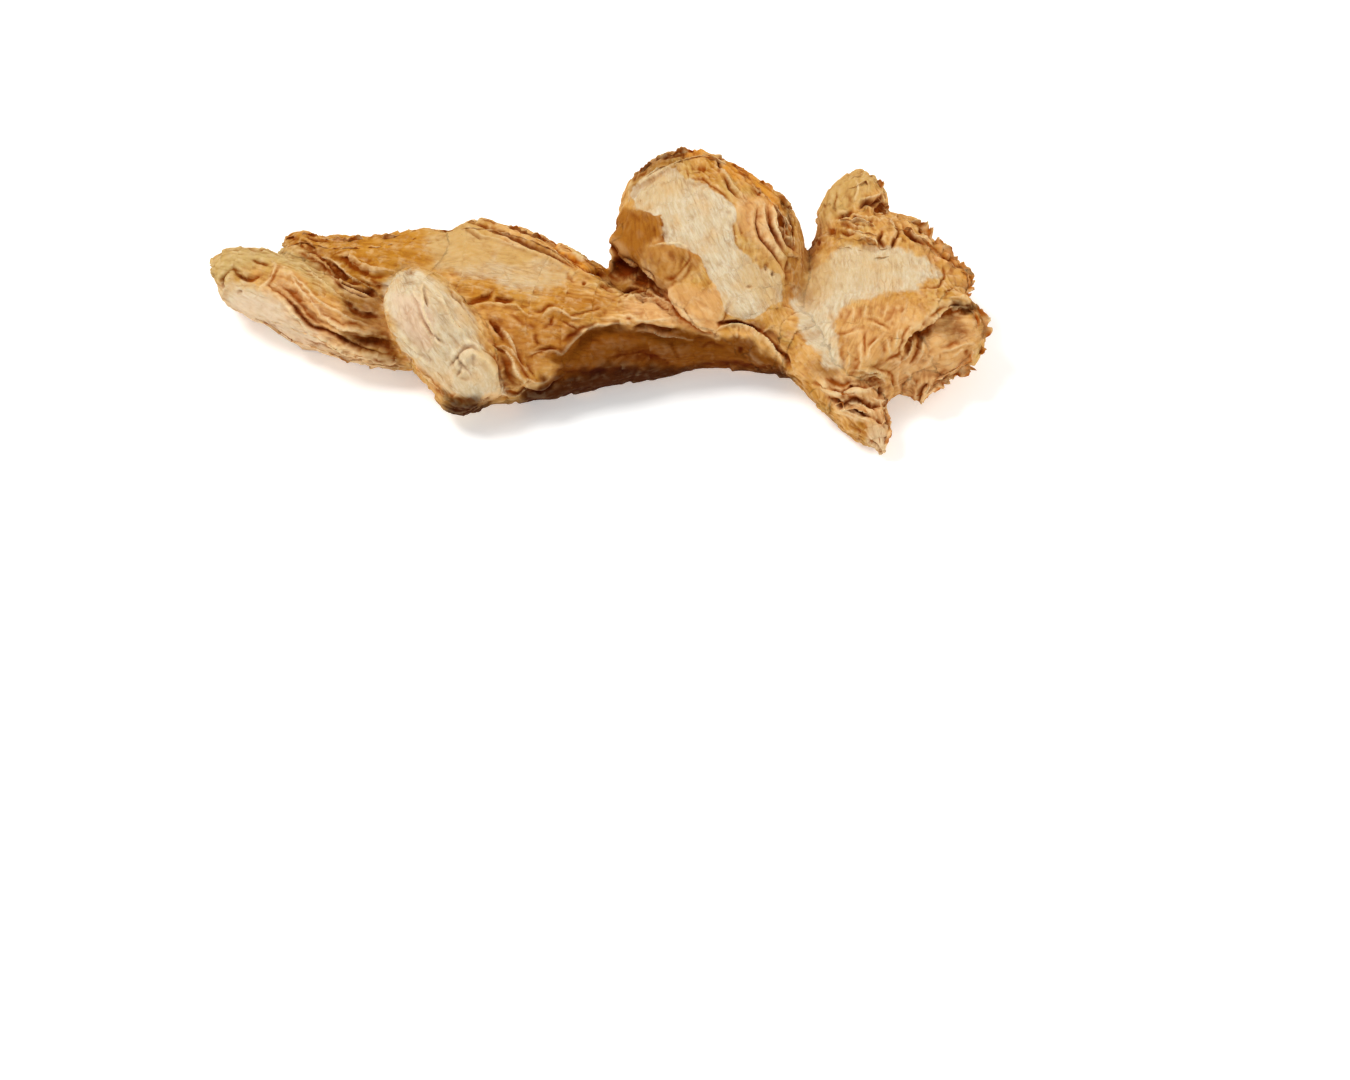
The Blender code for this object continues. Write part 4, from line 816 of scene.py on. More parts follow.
def folded(points, normals, kinds):
    """How folds of these kinds move each point, in mm, and their painted highlights and painted shade."""
    places = shaken(points, LINE_SHAKES)
    facing = np.clip(normals @ TOWARDS / FACING_FULL, 0, 1)
    uneven = 1 + UNEVEN["amount"] * noise_at(points / UNEVEN["size"])
    offset = np.zeros((len(points), 3))
    light = np.zeros(len(points))
    dark = np.zeros(len(points))
    for kind, height, width, line in (fold for fold in FOLDS if fold[0] in kinds):
        low, high = np.min(line, axis=0) - REACH, np.max(line, axis=0) + REACH
        near = np.flatnonzero(((places > low) & (places < high)).all(axis=1) & (facing > 0))
        signed, share, left = line_places(places[near], line)
        rise, pull, bright, deep = fold_profile(kind, width * SLIMNESS[kind], signed)
        shown = np.sqrt(facing[near]) if kind == "shade_line" else facing[near]
        fade = swelling(share, LINE_END) * shown
        fade *= np.clip((REACH - np.abs(signed)) / FADE_AT_REACH, 0, 1)
        rise = rise * height * uneven[near] * fade
        pull = pull * height * fade
        aside = -(left[:, :1] * ACROSS + left[:, 1:] * UPWARD)
        out = normals[near]
        aside -= (aside * out).sum(axis=1)[:, None] * out
        offset[near] += out * rise[:, None] + aside * pull[:, None]
        strength = fade * min(1.0, height / FULL_MARK[kind])
        light[near] = np.maximum(light[near], bright * strength)
        dark[near] = np.maximum(dark[near], deep * strength)
    # A pit is a dent with painted shade in it.
    for depth, radius, centre in (PITS if "pit" in kinds else []):
        away = np.hypot(*(places - centre).T) / radius
        hole = np.exp(-away ** 3) * facing
        offset -= normals * (depth * hole)[:, None]
        dark = np.maximum(dark, hole)
    return offset, light, dark


# %% [markdown]
# ## Wrinkles that nobody draws
#
# Between the drawn folds, and over the whole back and underside, the skin has wrinkles of its own.
# They are ridged noise: one minus the size of a smooth noise has a sharp crest wherever the noise
# crosses zero. Stretched along the lobes, the crests become long wrinkles that split and meet, as real
# ones do. Two sizes are laid over each other, and slow patches make some places rough and some smooth.
#
# Rings, the scars of the scale leaves, cross the wrinkles every few millimetres. Coarse wrinkles and
# rings come now. Fine wrinkles, crumples as of crushed paper, and thin overlapping sheets are defined
# here too, and laid on at the end.

# %% Sizes of wrinkles, crumples, sheets and rings
COARSE = {"spacing": 3.0, "length": 13.0, "height": 0.80, "height_in_view": 0.08}
FINE = {"spacing": 0.9, "length": 8.0, "height": 0.24, "height_in_view": 0.15}
WRINKLE_TOP = 0.35
WRINKLE_WARP = {"amount": 0.5, "size": 2.2}
WRINKLE_PATCHES = {"middle": 0.7, "swing": 0.8, "low": 0.2, "high": 1.3}
WRINKLE_PATCH_SIZE = 4.5

# Crumples: each kind's size and height.
CRUMPLES = ((3.4, 0.34), (1.7, 0.20), (0.85, 0.08))
CRUMPLE_SHAPE = (1.0, 1.0, 1.7)
CRUMPLE_TOP = 0.45
CRUMPLE_WARP = {"amount": 0.45, "size": 2.6}
CRUMPLE_PATCHES = {"size": 7.0, "shift": 31.0, "middle": 0.75, "swing": 0.9, "low": 0.3, "high": 1.3}

SHEETS = 4.5
SHEET_SPREAD = (7.0, 7.0, 26.0)
SHEET_SHIFT = 3.0
SHEET_WARP = {"amount": 0.22, "size": 5.0}
SHEET_HEIGHT = 0.50
SHEET_HEIGHT_IN_VIEW = 0.10
SHEET_PATCHES = {"size": 8.0, "shift": 20.0, "middle": 0.6, "swing": 1.1, "low": 0, "high": 1.2}

RING_SPACING = 7.5
RING_HEIGHT = 0.55
RING_SWAY = {"amount": 0.35, "size": 6.0}
RING_FALL = 5.0
RING_GROOVE = {"depth": 0.6, "place": 0.93, "width": 0.05}
RING_PATCHES = {"size": 9.0, "shift": 7.0, "middle": 0.5, "swing": 1.2, "low": 0, "high": 1}

CREST_SHARPNESS = 1.9
TURN_SHARPNESS = 1.6
FRAY = {"amount": 0.25, "size": 1.8}
print("coarse wrinkles every", COARSE["spacing"], "mm, rings every", RING_SPACING, "mm")

# %% Wrinkles, crumples, sheets and rings


def turned(normals, start=0.0, sharpness=TURN_SHARPNESS):
    """0 where the skin turns from the view by more than start says, 1 a little further towards it."""
    return np.clip((normals @ TOWARDS - start) * sharpness, 0, 1)


def frayed(points):
    """A quick unevenness that frays the edge of whatever it is added to."""
    return FRAY["amount"] * noise_at(points / FRAY["size"])


def ridged(rows, top):
    """Noise with a sharp crest wherever it crosses zero."""
    return top - CREST_SHARPNESS * np.abs(noise_at(rows))


def in_between(low, high, share):
    """The low value where share is 0, the high one where it is 1."""
    return low + (high - low) * share


def wrinkle(points, grain, facing, spacing, length, height, height_in_view):
    """Long crests. Warp and patches are measured in spacings, so that they suit every size."""
    bent = warp(points, WRINKLE_WARP["amount"], WRINKLE_WARP["size"] * spacing)
    rows = grain / (spacing, spacing, length) + bent
    patch = patchy(points, WRINKLE_PATCH_SIZE * spacing, **WRINKLE_PATCHES)
    return in_between(height, height_in_view, facing) * ridged(rows, WRINKLE_TOP) * patch


def crumple(points, grain):
    """Sharp crests between flat facets, as in crushed paper, at a few sizes."""
    warped = grain / CRUMPLE_SHAPE + warp(points, **CRUMPLE_WARP)
    rise = np.zeros(len(points))
    for size, height in CRUMPLES:
        rise += height * ridged(warped / size + size, CRUMPLE_TOP)
    return rise * patchy(points, **CRUMPLE_PATCHES)


def sheets(points, grain, facing):
    """Skin in overlapping sheets: it rises slowly and drops sharply, along the contours of a noise."""
    rows = grain / SHEET_SPREAD + warp(points, **SHEET_WARP)
    contour = SHEETS * noise_at(rows + SHEET_SHIFT) + frayed(points)
    rise = contour - np.floor(contour)
    return (in_between(SHEET_HEIGHT, SHEET_HEIGHT_IN_VIEW, facing) * (rise - 0.5)
            * patchy(points, **SHEET_PATCHES))


def rings(points, grain, facing):
    """Steps around the lobes at uneven distances, only where the folds aren't drawn."""
    along = grain[:, 2] / RING_SPACING + RING_SWAY["amount"] * noise_at(points / RING_SWAY["size"])
    phase = along - np.floor(along)
    groove = RING_GROOVE["depth"] * hump(phase, RING_GROOVE["place"], RING_GROOVE["width"])
    step = np.exp(-phase * RING_FALL) - groove
    return RING_HEIGHT * step * patchy(points, **RING_PATCHES) * (1 - facing)


# %% Bend the skin
points, normals = points_of(skin)
grain = lobe_places(points)
facing = turned(normals)
offset, _, _ = folded(points, normals, ["lip"])
rise = wrinkle(points, grain, facing, **COARSE) + rings(points, grain, facing)
move_points(skin, points + offset + normals * rise[:, None])
print("bent by up to", round(float(np.abs(offset).max()), 2), "mm")

# %% [markdown]
# ## A clean skin again
#
# Pulling the lips over their grooves has stretched faces and made some run through each other. A
# second voxel remesh, finer than the first, gives one closed skin without such faults. The finest
# wrinkles come after it, because a voxel would swallow them.

# %% The second remesh
SECOND_VOXEL = 0.23 * MM

skin = after(skin, remesh(SECOND_VOXEL), smoothing(1))
print("clean skin:", len(skin.vertices), "points")

# %% [markdown]
# ## Where the skin is gone
#
# On the large faces the brown skin is scraped or worn away, and pale flesh shows a few tenths of a
# millimetre lower. Each bare place is an outline on the drawing plane. Its edge is shaken by noise so
# that it looks torn, and the same mask later colours the flesh, so that shape and colour agree.
#
# An outline reaches only the side it was drawn from. On the far side, which nobody has drawn, noise
# decides where the skin has been scraped off, so that both sides look as worn.
#
# Two more sets of outlines are drawn: calm places, where the skin lies smooth between its folds, and
# tints, where it is browner, redder or paler. Three tints also paint light: painted shadow in clefts
# and under the body, painted shade with the umber on the front band, and a painted glow on thin rims.
# Each outline comes after its strength and the width of its soft edge.

# %% Outlines of the bare places
BARE_PLACES = {
    "body": (0.62, 3.0, [
        (-27.9, 14.5), (-25.3, 16.1), (-21.1, 16.5), (-15.2, 14.0), (-9.2, 12.4), (-6.1, 10.8), (-4.2, 8.1),
        (-5.0, 6.3), (-8.1, 5.2), (-11.0, 5.5), (-13.4, 6.3), (-15.8, 6.0), (-17.7, 7.4), (-21.3, 8.4),
        (-24.4, 8.7), (-26.8, 10.0)]),
    "upright lobe": (1.0, 0.9, [
        (5.8, 23.2), (9.7, 25.6), (12.6, 26.1), (14.8, 24.0), (18.4, 22.6), (21.8, 19.7), (21.5, 16.1),
        (22.3, 13.4), (25.0, 10.6), (28.7, 8.4), (29.0, 4.5), (25.8, 1.3), (21.3, 2.0), (18.5, 6.5),
        (16.5, 10.8), (13.2, 13.2), (10.4, 13.3), (10.0, 18.2), (5.8, 18.7)]),
    "right lobe": (1.0, 2.6, [
        (33.2, 7.2), (35.2, 10.4), (38.7, 13.0), (46.1, 13.2), (52.6, 11.0), (54.7, 8.1), (51.0, 6.6),
        (45.2, 5.2), (40.3, 4.4), (38.4, 2.9), (37.7, 0.0), (38.4, -3.2), (39.0, -6.1), (36.8, -6.5),
        (34.5, -3.5), (32.3, 0.0), (31.0, 4.0)]),
    "front finger": (0.8, 2.5, [
        (-34.4, 6.5), (-32.7, 8.1), (-28.7, 9.4), (-24.7, 7.3), (-21.5, 4.0), (-17.7, -1.6), (-16.6, -5.6),
        (-15.0, -10.5), (-19.0, -12.1), (-23.1, -10.5), (-27.1, -7.3), (-30.3, -4.0), (-33.2, 0.8)]),
    "left finger": (0.7, 3.0, [(-62.0, 6.5), (-56.9, 7.3), (-54.2, 6.5), (-50.8, 4.0), (-48.1, 1.6),
                               (-43.2, -2.4), (-48.1, -2.4), (-52.9, -0.8), (-57.7, 1.9)]),
}
print("bare places:", len(BARE_PLACES))

# %% Outlines of the calm places
CALM_PLACES = [
    (0.8, 2.0, [(-10, -3.5), (-6.1, -2.4), (-2.9, -0.3), (0.6, 0.5), (6.8, 0.5), (13.2, -0.5), (18.9, -1.5),
                (24.2, -1.6), (26.8, -3.2), (31, -7.7), (31, -12), (-13, -14), (-11.3, -9.7)]),
    (0.8, 1.2, [
        (0.8, 15.2), (1.3, 16.5), (4.4, 19.2), (8.7, 19.2), (10.6, 17.1), (11.0, 13.9), (14.8, 13.2),
        (17.1, 11.0), (15.5, 8.7), (12.6, 7.3), (9.2, 8.4), (6.8, 11.0), (2.6, 13.5)]),
    (0.8, 1.2, [(10.8, 6.6), (13.2, 6.5), (16.5, 4.8), (20.0, 6.5), (21.0, 4.5), (18.5, -0.8),
                (13.2, 3.9)]),
    (0.5, 2.5, [(-20, 4.5), (-12, 4), (-6, 2.5), (-2, 1.5), (-4, -2), (-8.5, -6), (-12, -8), (-15, -4)]),
    (0.75, 2.0, [(22.5, 21.0), (26.5, 21.0), (30.5, 19.8), (31.3, 14.0), (29.5, 9.0), (26.5, 10.5),
                 (24.0, 13.5), (22.0, 18.0)]),
    (0.6, 2.5, [(-40.0, 14.5), (-28.0, 16.5), (-27.0, 9.5), (-33.0, 9.5), (-38.0, 11.5)]),
    (0.7, 3.0, [(-34.4, 6.5), (-28.7, 9.4), (-21.5, 4.0), (-16.6, -5.6), (-15.0, -10.5), (-23.1, -10.5),
                (-33.2, 0.8)]),
    (0.5, 3.0, [(35.5, 16.9), (35.8, 20.2), (39.0, 24.5), (43.1, 26.0), (44.2, 22.6), (41.0, 18.0)]),
    (0.5, 3.0, [(54.0, 2.0), (60.0, 1.5), (61.5, -2.0), (56.0, -8.0), (51.0, -9.0), (51.0, -3.0)]),
    (0.7, 2.5, [(36.5, 5), (49, 6), (52, 3.5), (48.5, -3), (45, -6), (40.5, -9), (38, -6)]),
]
print("calm places:", len(CALM_PLACES))

# %% Outlines and colours of the tints
TINTS = {
    "olive": {"colour": "#C2A468", "places": [
        (0.9, 3.0, [
            (-62.4, 6.8), (-62.3, 10.5), (-60.2, 12.9), (-56.1, 14.4), (-51, 13.9), (-48.1, 12.6),
            (-43.2, 8.4), (-40, 5.5), (-43.2, 6.3), (-48.1, 9), (-51.9, 10.8), (-55.3, 9.7), (-58.5, 8.7),
            (-59.7, 6.1)]),
        (0.5, 2.5, [(35.5, 16.9), (35.8, 20.2), (39, 24.5), (43.1, 26), (45.5, 24.8), (44.2, 22.6),
                    (41.6, 20.2), (39.8, 18.1)]),
        (0.5, 2.0, [(-33.9, 7.3), (-31.9, 9.4), (-27.9, 9), (-25.5, 7.3), (-28.7, 6.5), (-32.7, 4.8)]),
    ]},
    "cream": {"colour": "#DFBE92", "places": [
        (0.9, 3.0, [(-61.3, 5.6), (-57.7, 6.5), (-52.9, 6.1), (-48.1, 2.6), (-42.9, -1.9), (-31.9, -6.6),
                    (-40, -7.1), (-48.1, -4.2), (-56.1, -1.6), (-60.6, 1.6)]),
        (0.8, 2.0, [(-21.5, -3.9), (-18.7, -3.7), (-15.5, -7.3), (-15, -11), (-19, -11.8), (-23.1, -10.5),
                    (-24.2, -8.1)]),
        (0.5, 2.0, [(35.5, -10), (41, -10.5), (46.5, -11), (46.8, -15), (42.5, -15), (38.5, -13)]),
        (0.9, 2.0, [(42.6, -15.2), (46.1, -15.2), (47.1, -21), (43.9, -21)]),
    ]},
    "peach": {"colour": "#DAA669", "places": [
        (0.8, 2.0, [(22.6, 22.6), (24.8, 21), (28.5, 21), (29, 16.9), (30.2, 12.9), (26.9, 11),
                    (24.2, 14.5), (22.1, 18.5)]),
        (0.5, 2.5, [(38.5, 3.5), (48, 5), (52, 2), (48.5, -3), (45, -6), (40.5, -9), (38.5, -5)]),
        (0.8, 2.5, [(-52.6, 6.5), (-51, 9.7), (-47.4, 7.3), (-41.3, 1.6), (-35.2, -0.3), (-40.8, -2.3),
                    (-46.5, 0.6), (-49.7, 3.9)]),
        (0.9, 2.5, [(3.9, 1.9), (4.5, 4.7), (8.4, 5.2), (11.9, 6.1), (16.5, 0.8), (19, -1), (14.8, -0.2),
                    (8.4, 0.8)]),
        (0.75, 1.2, [(10.8, 6.6), (13.2, 6.5), (16.5, 4.8), (20, 6.5), (21, 4.5), (20, 1.9), (18.5, -0.8),
                     (16.5, 0.8), (13.2, 3.9)]),
        (0.3, 3.0, [(-34.4, 6.5), (-28.7, 9.4), (-21.5, 4), (-16.6, -5.6), (-15, -10.5), (-23.1, -10.5),
                    (-33.2, 0.8)]),
        (0.9, 3.0, [(46, -4.5), (53, -3.5), (58, -6), (54, -10.5), (50, -12), (46.5, -9)]),
        (0.7, 3.0, [(53.5, 2.3), (57.6, 2.7), (60.8, 1.6), (60.8, -2.4), (58.4, -7.3), (54.4, -10),
                    (51.1, -12.9), (49.5, -10.5), (50.6, -6.5), (51.1, -2.4)]),
        (0.7, 2.5, [(34.5, -7.7), (45.5, -6.8), (47.1, -11.3), (46.5, -15.2), (42.6, -15.2), (38.7, -13.2),
                    (35.8, -10.6)]),
        (0.8, 2.5, [(-24.2, -7.7), (-23.1, -10.5), (-25.5, -10), (-27.9, -7.3), (-26.8, -5.2)]),
    ]},
    "pale_pink": {"colour": "#E0C2A4", "places": [
        (0.5, 2.5, [(-60, 4.5), (-56, 6), (-52, 4.5), (-47, 0.5), (-43, -3), (-48, -3.5), (-54, -0.5)]),
        (0.7, 2.0, [(-32.3, 4.8), (-27.1, 5.2), (-25.2, -2.4), (-27.4, -4.2), (-30.3, -0.8)]),
    ]},
    # Darker brown skin, and painted shade on the front band, which faces down, and in dark folds.
    "umber_and_shade": {"colour": "#7E460C", "places": [
        (1.0, 1.2, [
            (-10, -3.5), (-6.1, -2.4), (-2.9, -0.2), (0.6, 0.3), (6.8, 0.5), (13.2, -0.5), (19, -1.5),
            (21.6, -0.8), (24.2, -1.6), (26.8, -3.2), (29.4, -5.2), (31, -7.7), (31, -11.3), (16.5, -10.5),
            (6.8, -10.5), (-6.1, -12.9), (-13.4, -13.7), (-11.3, -9.7), (-8.1, -8.7), (-6.5, -6.8),
            (-8.1, -4.8)]),
        (0.45, 2.0, [(-15.5, -3.5), (-13.7, -4.4), (-12.4, -6.9), (-11.8, -9.8), (-15, -10.3),
                     (-15.5, -7.3)]),
        (0.6, 2.5, [(34.2, -5.2), (37.7, -5.5), (37.7, -8.4), (34.5, -8.1)]),
        (0.1, 2.5, [(-16.6, -1.5), (-10, 0), (-3, 0), (0.3, 1.0), (-3, -2.4), (-8.5, -6.5), (-11, -9.7),
                    (-14.2, -8.1)]),
        (0.65, 2.5, [(-41.6, 6.5), (-34.5, 5.2), (-33.7, -0.3), (-39.2, 0.3)]),
        (0.22, 2.5, [(-48.1, 13.2), (-41.6, 12.4), (-35.2, 8.4), (-34.2, 4.8), (-35.2, 1.9), (-40, 4.8),
                     (-44.8, 8.9)]),
        (0.6, 2.0, [(5.2, 22.3), (5.5, 25), (8.4, 27.4), (13.2, 29.2), (15.3, 28.7), (14.8, 27.3),
                    (10.8, 26.5), (7.6, 24.5)]),
        (0.4, 1.5, [(55.2, 1.3), (58.1, 1.5), (59.2, -0.8), (58.4, -2.4), (56.1, -2.9), (54.8, -1.3)]),
        (0.1, 2.0, [(41.9, -7.7), (45.5, -7.7), (45.3, -10), (42.3, -10.2)]),
    ]},
    "flap": {"colour": "#A66820", "places": [
        (1.0, 1.2, [(0.2, 15.2), (1.3, 16.5), (4.4, 19.2), (8.7, 19.2), (10.6, 17.1), (11, 13.9),
                    (7.6, 12.6), (7.2, 9.4), (5.5, 9.6), (3.6, 11.2), (1.6, 13.2)]),
        (0.65, 1.2, [(7.0, 12.1), (8.7, 13.2), (14.8, 13.2), (17.1, 11), (15.5, 8.7), (12.6, 7.3),
                     (10.6, 5.6), (9.2, 6.4), (7.0, 9.0)]),
    ]},
    "rust": {"colour": "#AE6C20", "places": [
        (0.7, 2.5, [(30.3, 4.8), (29.7, 7.4), (30, 11), (31.3, 12.6), (32.9, 11.9), (35.2, 15.2),
                    (36.5, 15.8), (35.5, 12.9), (33.5, 9.4), (32.3, 6.1)]),
        (0.8, 2.5, [(-6.1, 4.8), (0.3, 4.8), (2.3, 2.9), (0, 1.9), (-6.1, 3.9)]),
        (0.65, 2.5, [(-18, 2.6), (-12, 1.8), (-6, 1.6), (-2, 1.2), (-4, -2), (-8.5, -6), (-12, -8),
                     (-15, -4)]),
    ]},
    # The orange of thin rims and flaps, painted brighter as a glow where light shines through them.
    "amber_rim_glow": {"colour": "#D88E28", "places": [
        (1.0, 1.0, [(-7.3, 13.9), (-3.7, 12.3), (1.3, 9.7), (2.3, 8.2), (0.3, 8.2), (-3.7, 10.3)]),
        (0.7, 1.2, [(14.4, 30), (17.7, 29.8), (17.4, 27.7), (15.2, 27.4)]),
        (0.8, 1.5, [(0.3, 16.9), (2.3, 17.4), (2.6, 14.5), (1.3, 13.5), (0.3, 14.5)]),
        (0.7, 1.5, [(20, 29.4), (26.1, 24.5), (28.5, 21.8), (31, 18.5), (27.7, 20.2), (24.8, 22.9),
                    (20, 25.8)]),
        (0.7, 1.5, [(53.5, 14.5), (58.4, 11), (61.3, 8.9), (61.6, 6.1), (60, 6.8), (57.6, 9.7),
                    (55.2, 11)]),
    ]},
    "golden": {"colour": "#BE8024", "places": [
        (0.9, 3.0, [(-51.9, 15.8), (-28.7, 17.4), (-25.5, 16.1), (-27.1, 9), (-30, 9), (-33.9, 8.1),
                    (-36, 4.8), (-40, 6.5), (-45.6, 12.9)]),
        (0.2, 2.5, [(5, 20), (4.7, 24.2), (8.4, 28.7), (16.5, 30.3), (20, 30.3), (29.4, 22.6), (27.7, 20),
                    (21.3, 23.4), (11.9, 26.9), (7.6, 24.2)]),
        (0.7, 3.0, [(-23.1, 7.3), (-15.8, 8.1), (-9.4, 4.8), (0.3, 4.8), (0.6, 0.8), (-6.1, 1.9),
                    (-12.6, 2.4), (-20.6, 3.5)]),
    ]},
    "ochre": {"colour": "#C99E5A", "places": [
        (0.7, 3.0, [(33.4, 11), (36.1, 12.9), (38.2, 11), (36.6, 6.5), (34.5, 3.2), (32.6, 4.8),
                    (32.1, 8.1)]),
        (0.55, 1.5, [(-26.5, 9.5), (-23, 7), (-19, 1.5), (-15.8, -4), (-15.5, -8), (-17.5, -8),
                     (-18.5, -3.5), (-21.5, 3), (-24.8, 6.5), (-27.5, 8)]),
        (0.8, 3.0, [(-27.9, 15.8), (-20.6, 17.7), (-15.8, 15.3), (-15.8, 11), (-20.6, 8.9), (-27.1, 9.7)]),
        (0.75, 3.0, [(35.5, 16.9), (35.8, 20.2), (39, 24.5), (43.1, 26), (45.5, 24.8), (44.2, 22.6),
                     (41.6, 20.2), (39.8, 18.1)]),
        (0.4, 4.0, [(-22, 15.5), (-15, 13.5), (-8, 11.5), (-4.5, 8), (-9, 6), (-16, 7), (-22, 9.5)]),
        (0.9, 2.0, [(-16.1, 13.7), (-11, 13.2), (-8.5, 11.6), (-12.6, 9.4), (-15.8, 10)]),
        (0.6, 4.0, [(-8.5, 11.9), (-3.7, 9.7), (-6.1, 6.5), (-11, 6.5)]),
        (0.4, 3.0, [(6.8, 24.2), (13.2, 25.8), (16.5, 23.4), (11.6, 20.2), (6.1, 18.5)]),
        (0.35, 4.0, [(35, 10.5), (40.6, 12.9), (51.9, 12.1), (48.7, 8.9), (40.6, 6.5), (35, 4.8)]),
        (0.5, 3.0, [(22.1, 11), (28.5, 12.1), (30.2, 7.3), (27.7, 2.4), (22.1, 6.5)]),
    ]},
    # Painted shadow: under the front of the body, in a hollow of the left finger, in the slot under a lip
    # and in the cleft.
    "painted_shadow": {"colour": "#421C02", "places": [
        (1.0, 2.5, [
            (-11.6, -10.2), (-8.5, -9.2), (-5.8, -8.5), (0.3, -6.6), (6.8, -6), (16.5, -6.2), (22.9, -6.6),
            (28.5, -6.9), (31.3, -8.1), (31.3, -14.5), (6.8, -14.5), (-12.6, -16.1), (-23.9, -16.1),
            (-24.8, -11), (-21, -11.3), (-15.8, -11.8), (-12.9, -11.3)]),
        (0.45, 1.5, [(-40.6, -1), (-36.3, -0.3), (-33.9, -0.8), (-32.4, -3.2), (-30.8, -6.9), (-34.4, -6.1),
                     (-37.3, -3.9), (-40.2, -2.3)]),
        (0.75, 0.8, [(56.2, 3.9), (58.2, 3.7), (60.3, 4.5), (60.5, 3.7), (58.5, 2.7), (56.6, 2.6)]),
        (0.55, 1.0, [(30, 20.5), (31.4, 19.5), (31.7, 16), (31, 13.5), (30.3, 16.5)]),
    ]},
}
print("tints:", list(TINTS))

# %% Masks from outlines


def inside(places, outline, soft):
    """1 well inside the outline, 0 outside, with an edge that is soft millimetres wide."""
    outline = np.asarray(outline, float)
    low, high = outline.min(axis=0) - soft, outline.max(axis=0) + soft
    mask = np.zeros(len(places))
    near = np.flatnonzero(((places > low) & (places < high)).all(axis=1))
    x, y = places[near].T
    crossings = np.zeros(len(near), int)
    distance = np.full(len(near), np.inf)
    for (ax, ay), (bx, by) in zip(outline, np.roll(outline, -1, axis=0)):
        if ay != by:
            crosses = (ay > y) != (by > y)
            crossings += crosses & (x < (bx - ax) * (y - ay) / (by - ay) + ax)
        dx, dy = bx - ax, by - ay
        t = np.clip(((x - ax) * dx + (y - ay) * dy) / (dx * dx + dy * dy), 0, 1)
        distance = np.minimum(distance, np.hypot(x - ax - t * dx, y - ay - t * dy))
    signed = np.where(crossings % 2 == 1, distance, -distance)
    share = np.clip(0.5 + signed / soft, 0, 1)
    mask[near] = share * share * (3 - 2 * share)
    return mask


def strongest(places, areas):
    """At each place the strongest of these areas, each a strength, a soft edge and an outline."""
    mask = np.zeros(len(places))
    for strength, soft, outline in areas:
        mask = np.maximum(mask, strength * inside(places, outline, soft))
    return mask


# %% Bare flesh on a set of points
TORN_SHAKES = ((1.1, 3.6), (0.5, 1.0))
TORN_SHIFT = 11.0
WAVERING_SHAKES = ((1.0, 5.0), (0.9, 1.6))
SCRAPED = {"size": 9.0, "shift": 5.0, "above": 0.22, "sharpness": 5, "strength": 0.9}
EDGE_OF_VIEW = 0.15


def bare_flesh(points, normals):
    drawn = strongest(shaken(points, TORN_SHAKES, TORN_SHIFT), BARE_PLACES.values())
    scraped = noise_at(points / SCRAPED["size"] + SCRAPED["shift"]) + frayed(points)
    scraped = np.clip((scraped - SCRAPED["above"]) * SCRAPED["sharpness"], 0, 1)
    hidden = SCRAPED["strength"] * turned(-normals, EDGE_OF_VIEW, 4)
    return np.maximum(drawn * turned(normals, EDGE_OF_VIEW, 6), hidden * scraped)


# %% [markdown]
# ## The finest relief
#
# The last shaping is small: the step down to the bare flesh, fine wrinkles along the grain, sheets,
# crumples and grit. Bare flesh and calm places are smoother than other skin, so the wrinkles shrink
# there.

# %% Finest wrinkles and the step at the bare places
BARE_DEPTH = 0.22
GRIT = {"height": 0.05, "size": 0.8}
LESS_ON_FLESH = {"wrinkles": 0.7, "sheets": 0.85, "crumples": 0.65}
CALM_WRINKLES = 0.4

points, normals = points_of(skin)
grain = lobe_places(points)
facing = turned(normals)
bare = bare_flesh(points, normals)
rough = 1 - strongest(shaken(points, TORN_SHAKES, TORN_SHIFT), CALM_PLACES)
wrinkled = in_between(CALM_WRINKLES, 1.0, rough)
rise = wrinkle(points, grain, facing, **FINE) * (1 - LESS_ON_FLESH["wrinkles"] * bare) * wrinkled
rise += sheets(points, grain, facing) * (1 - LESS_ON_FLESH["sheets"] * bare) * rough
rise += crumple(points, grain) * (1 - LESS_ON_FLESH["crumples"] * bare) * rough
rise -= BARE_DEPTH * bare
rise += GRIT["height"] * noise_at(points / GRIT["size"])
offset, _, _ = folded(points, normals, ["ridge", "crease", "shade_line", "pit"])
move_points(skin, points + offset + normals * rise[:, None])
print("bare flesh on", round(100 * float(bare.mean())), "% of the skin")

# %% Fewer faces, and flat where it rests
MOST_TRIANGLES = 194_000

triangles = 2 * len(skin.polygons)
skin = after(skin, ("DECIMATE", {"ratio": MOST_TRIANGLES / triangles, "use_collapse_triangulate": True}))
points, normals = points_of(skin)
points[:, 2] = np.maximum(points[:, 2], 0.0)
move_points(skin, points)
skin.shade_smooth()
print("finished skin:", len(skin.polygons), "triangles, lowest point", round(float(points[:, 2].min()), 3))

# %% [markdown]
# ## Telling the colours where to go
#
# Crests get a painted highlight and creases painted shade, so the colours need to know the form. Two
# measures come from the shape itself: how far each point stands above a smoothed copy of the skin,
# at a small and at a larger scale, and how much of the sky it sees, found by casting rays, which sets
# more painted shade where little sky is seen. They are kept on the mesh as attributes, next to the
# drawn masks, and the material reads them by name.

# %% Crests, hollows and sky
SMALL_FORM_STEPS = 6
LARGE_FORM_STEPS = 60
RAYS = 10
RAY_LENGTH = 7.0
RAY_START = 0.08
GOLDEN_TURN = math.pi * (3 - math.sqrt(5))
NEARLY_UPRIGHT = 0.9


def height_over_smoothed(steps):
    smoothed, _ = points_of(after(skin, smoothing(steps)))
    return ((points - smoothed) * normals).sum(axis=1)


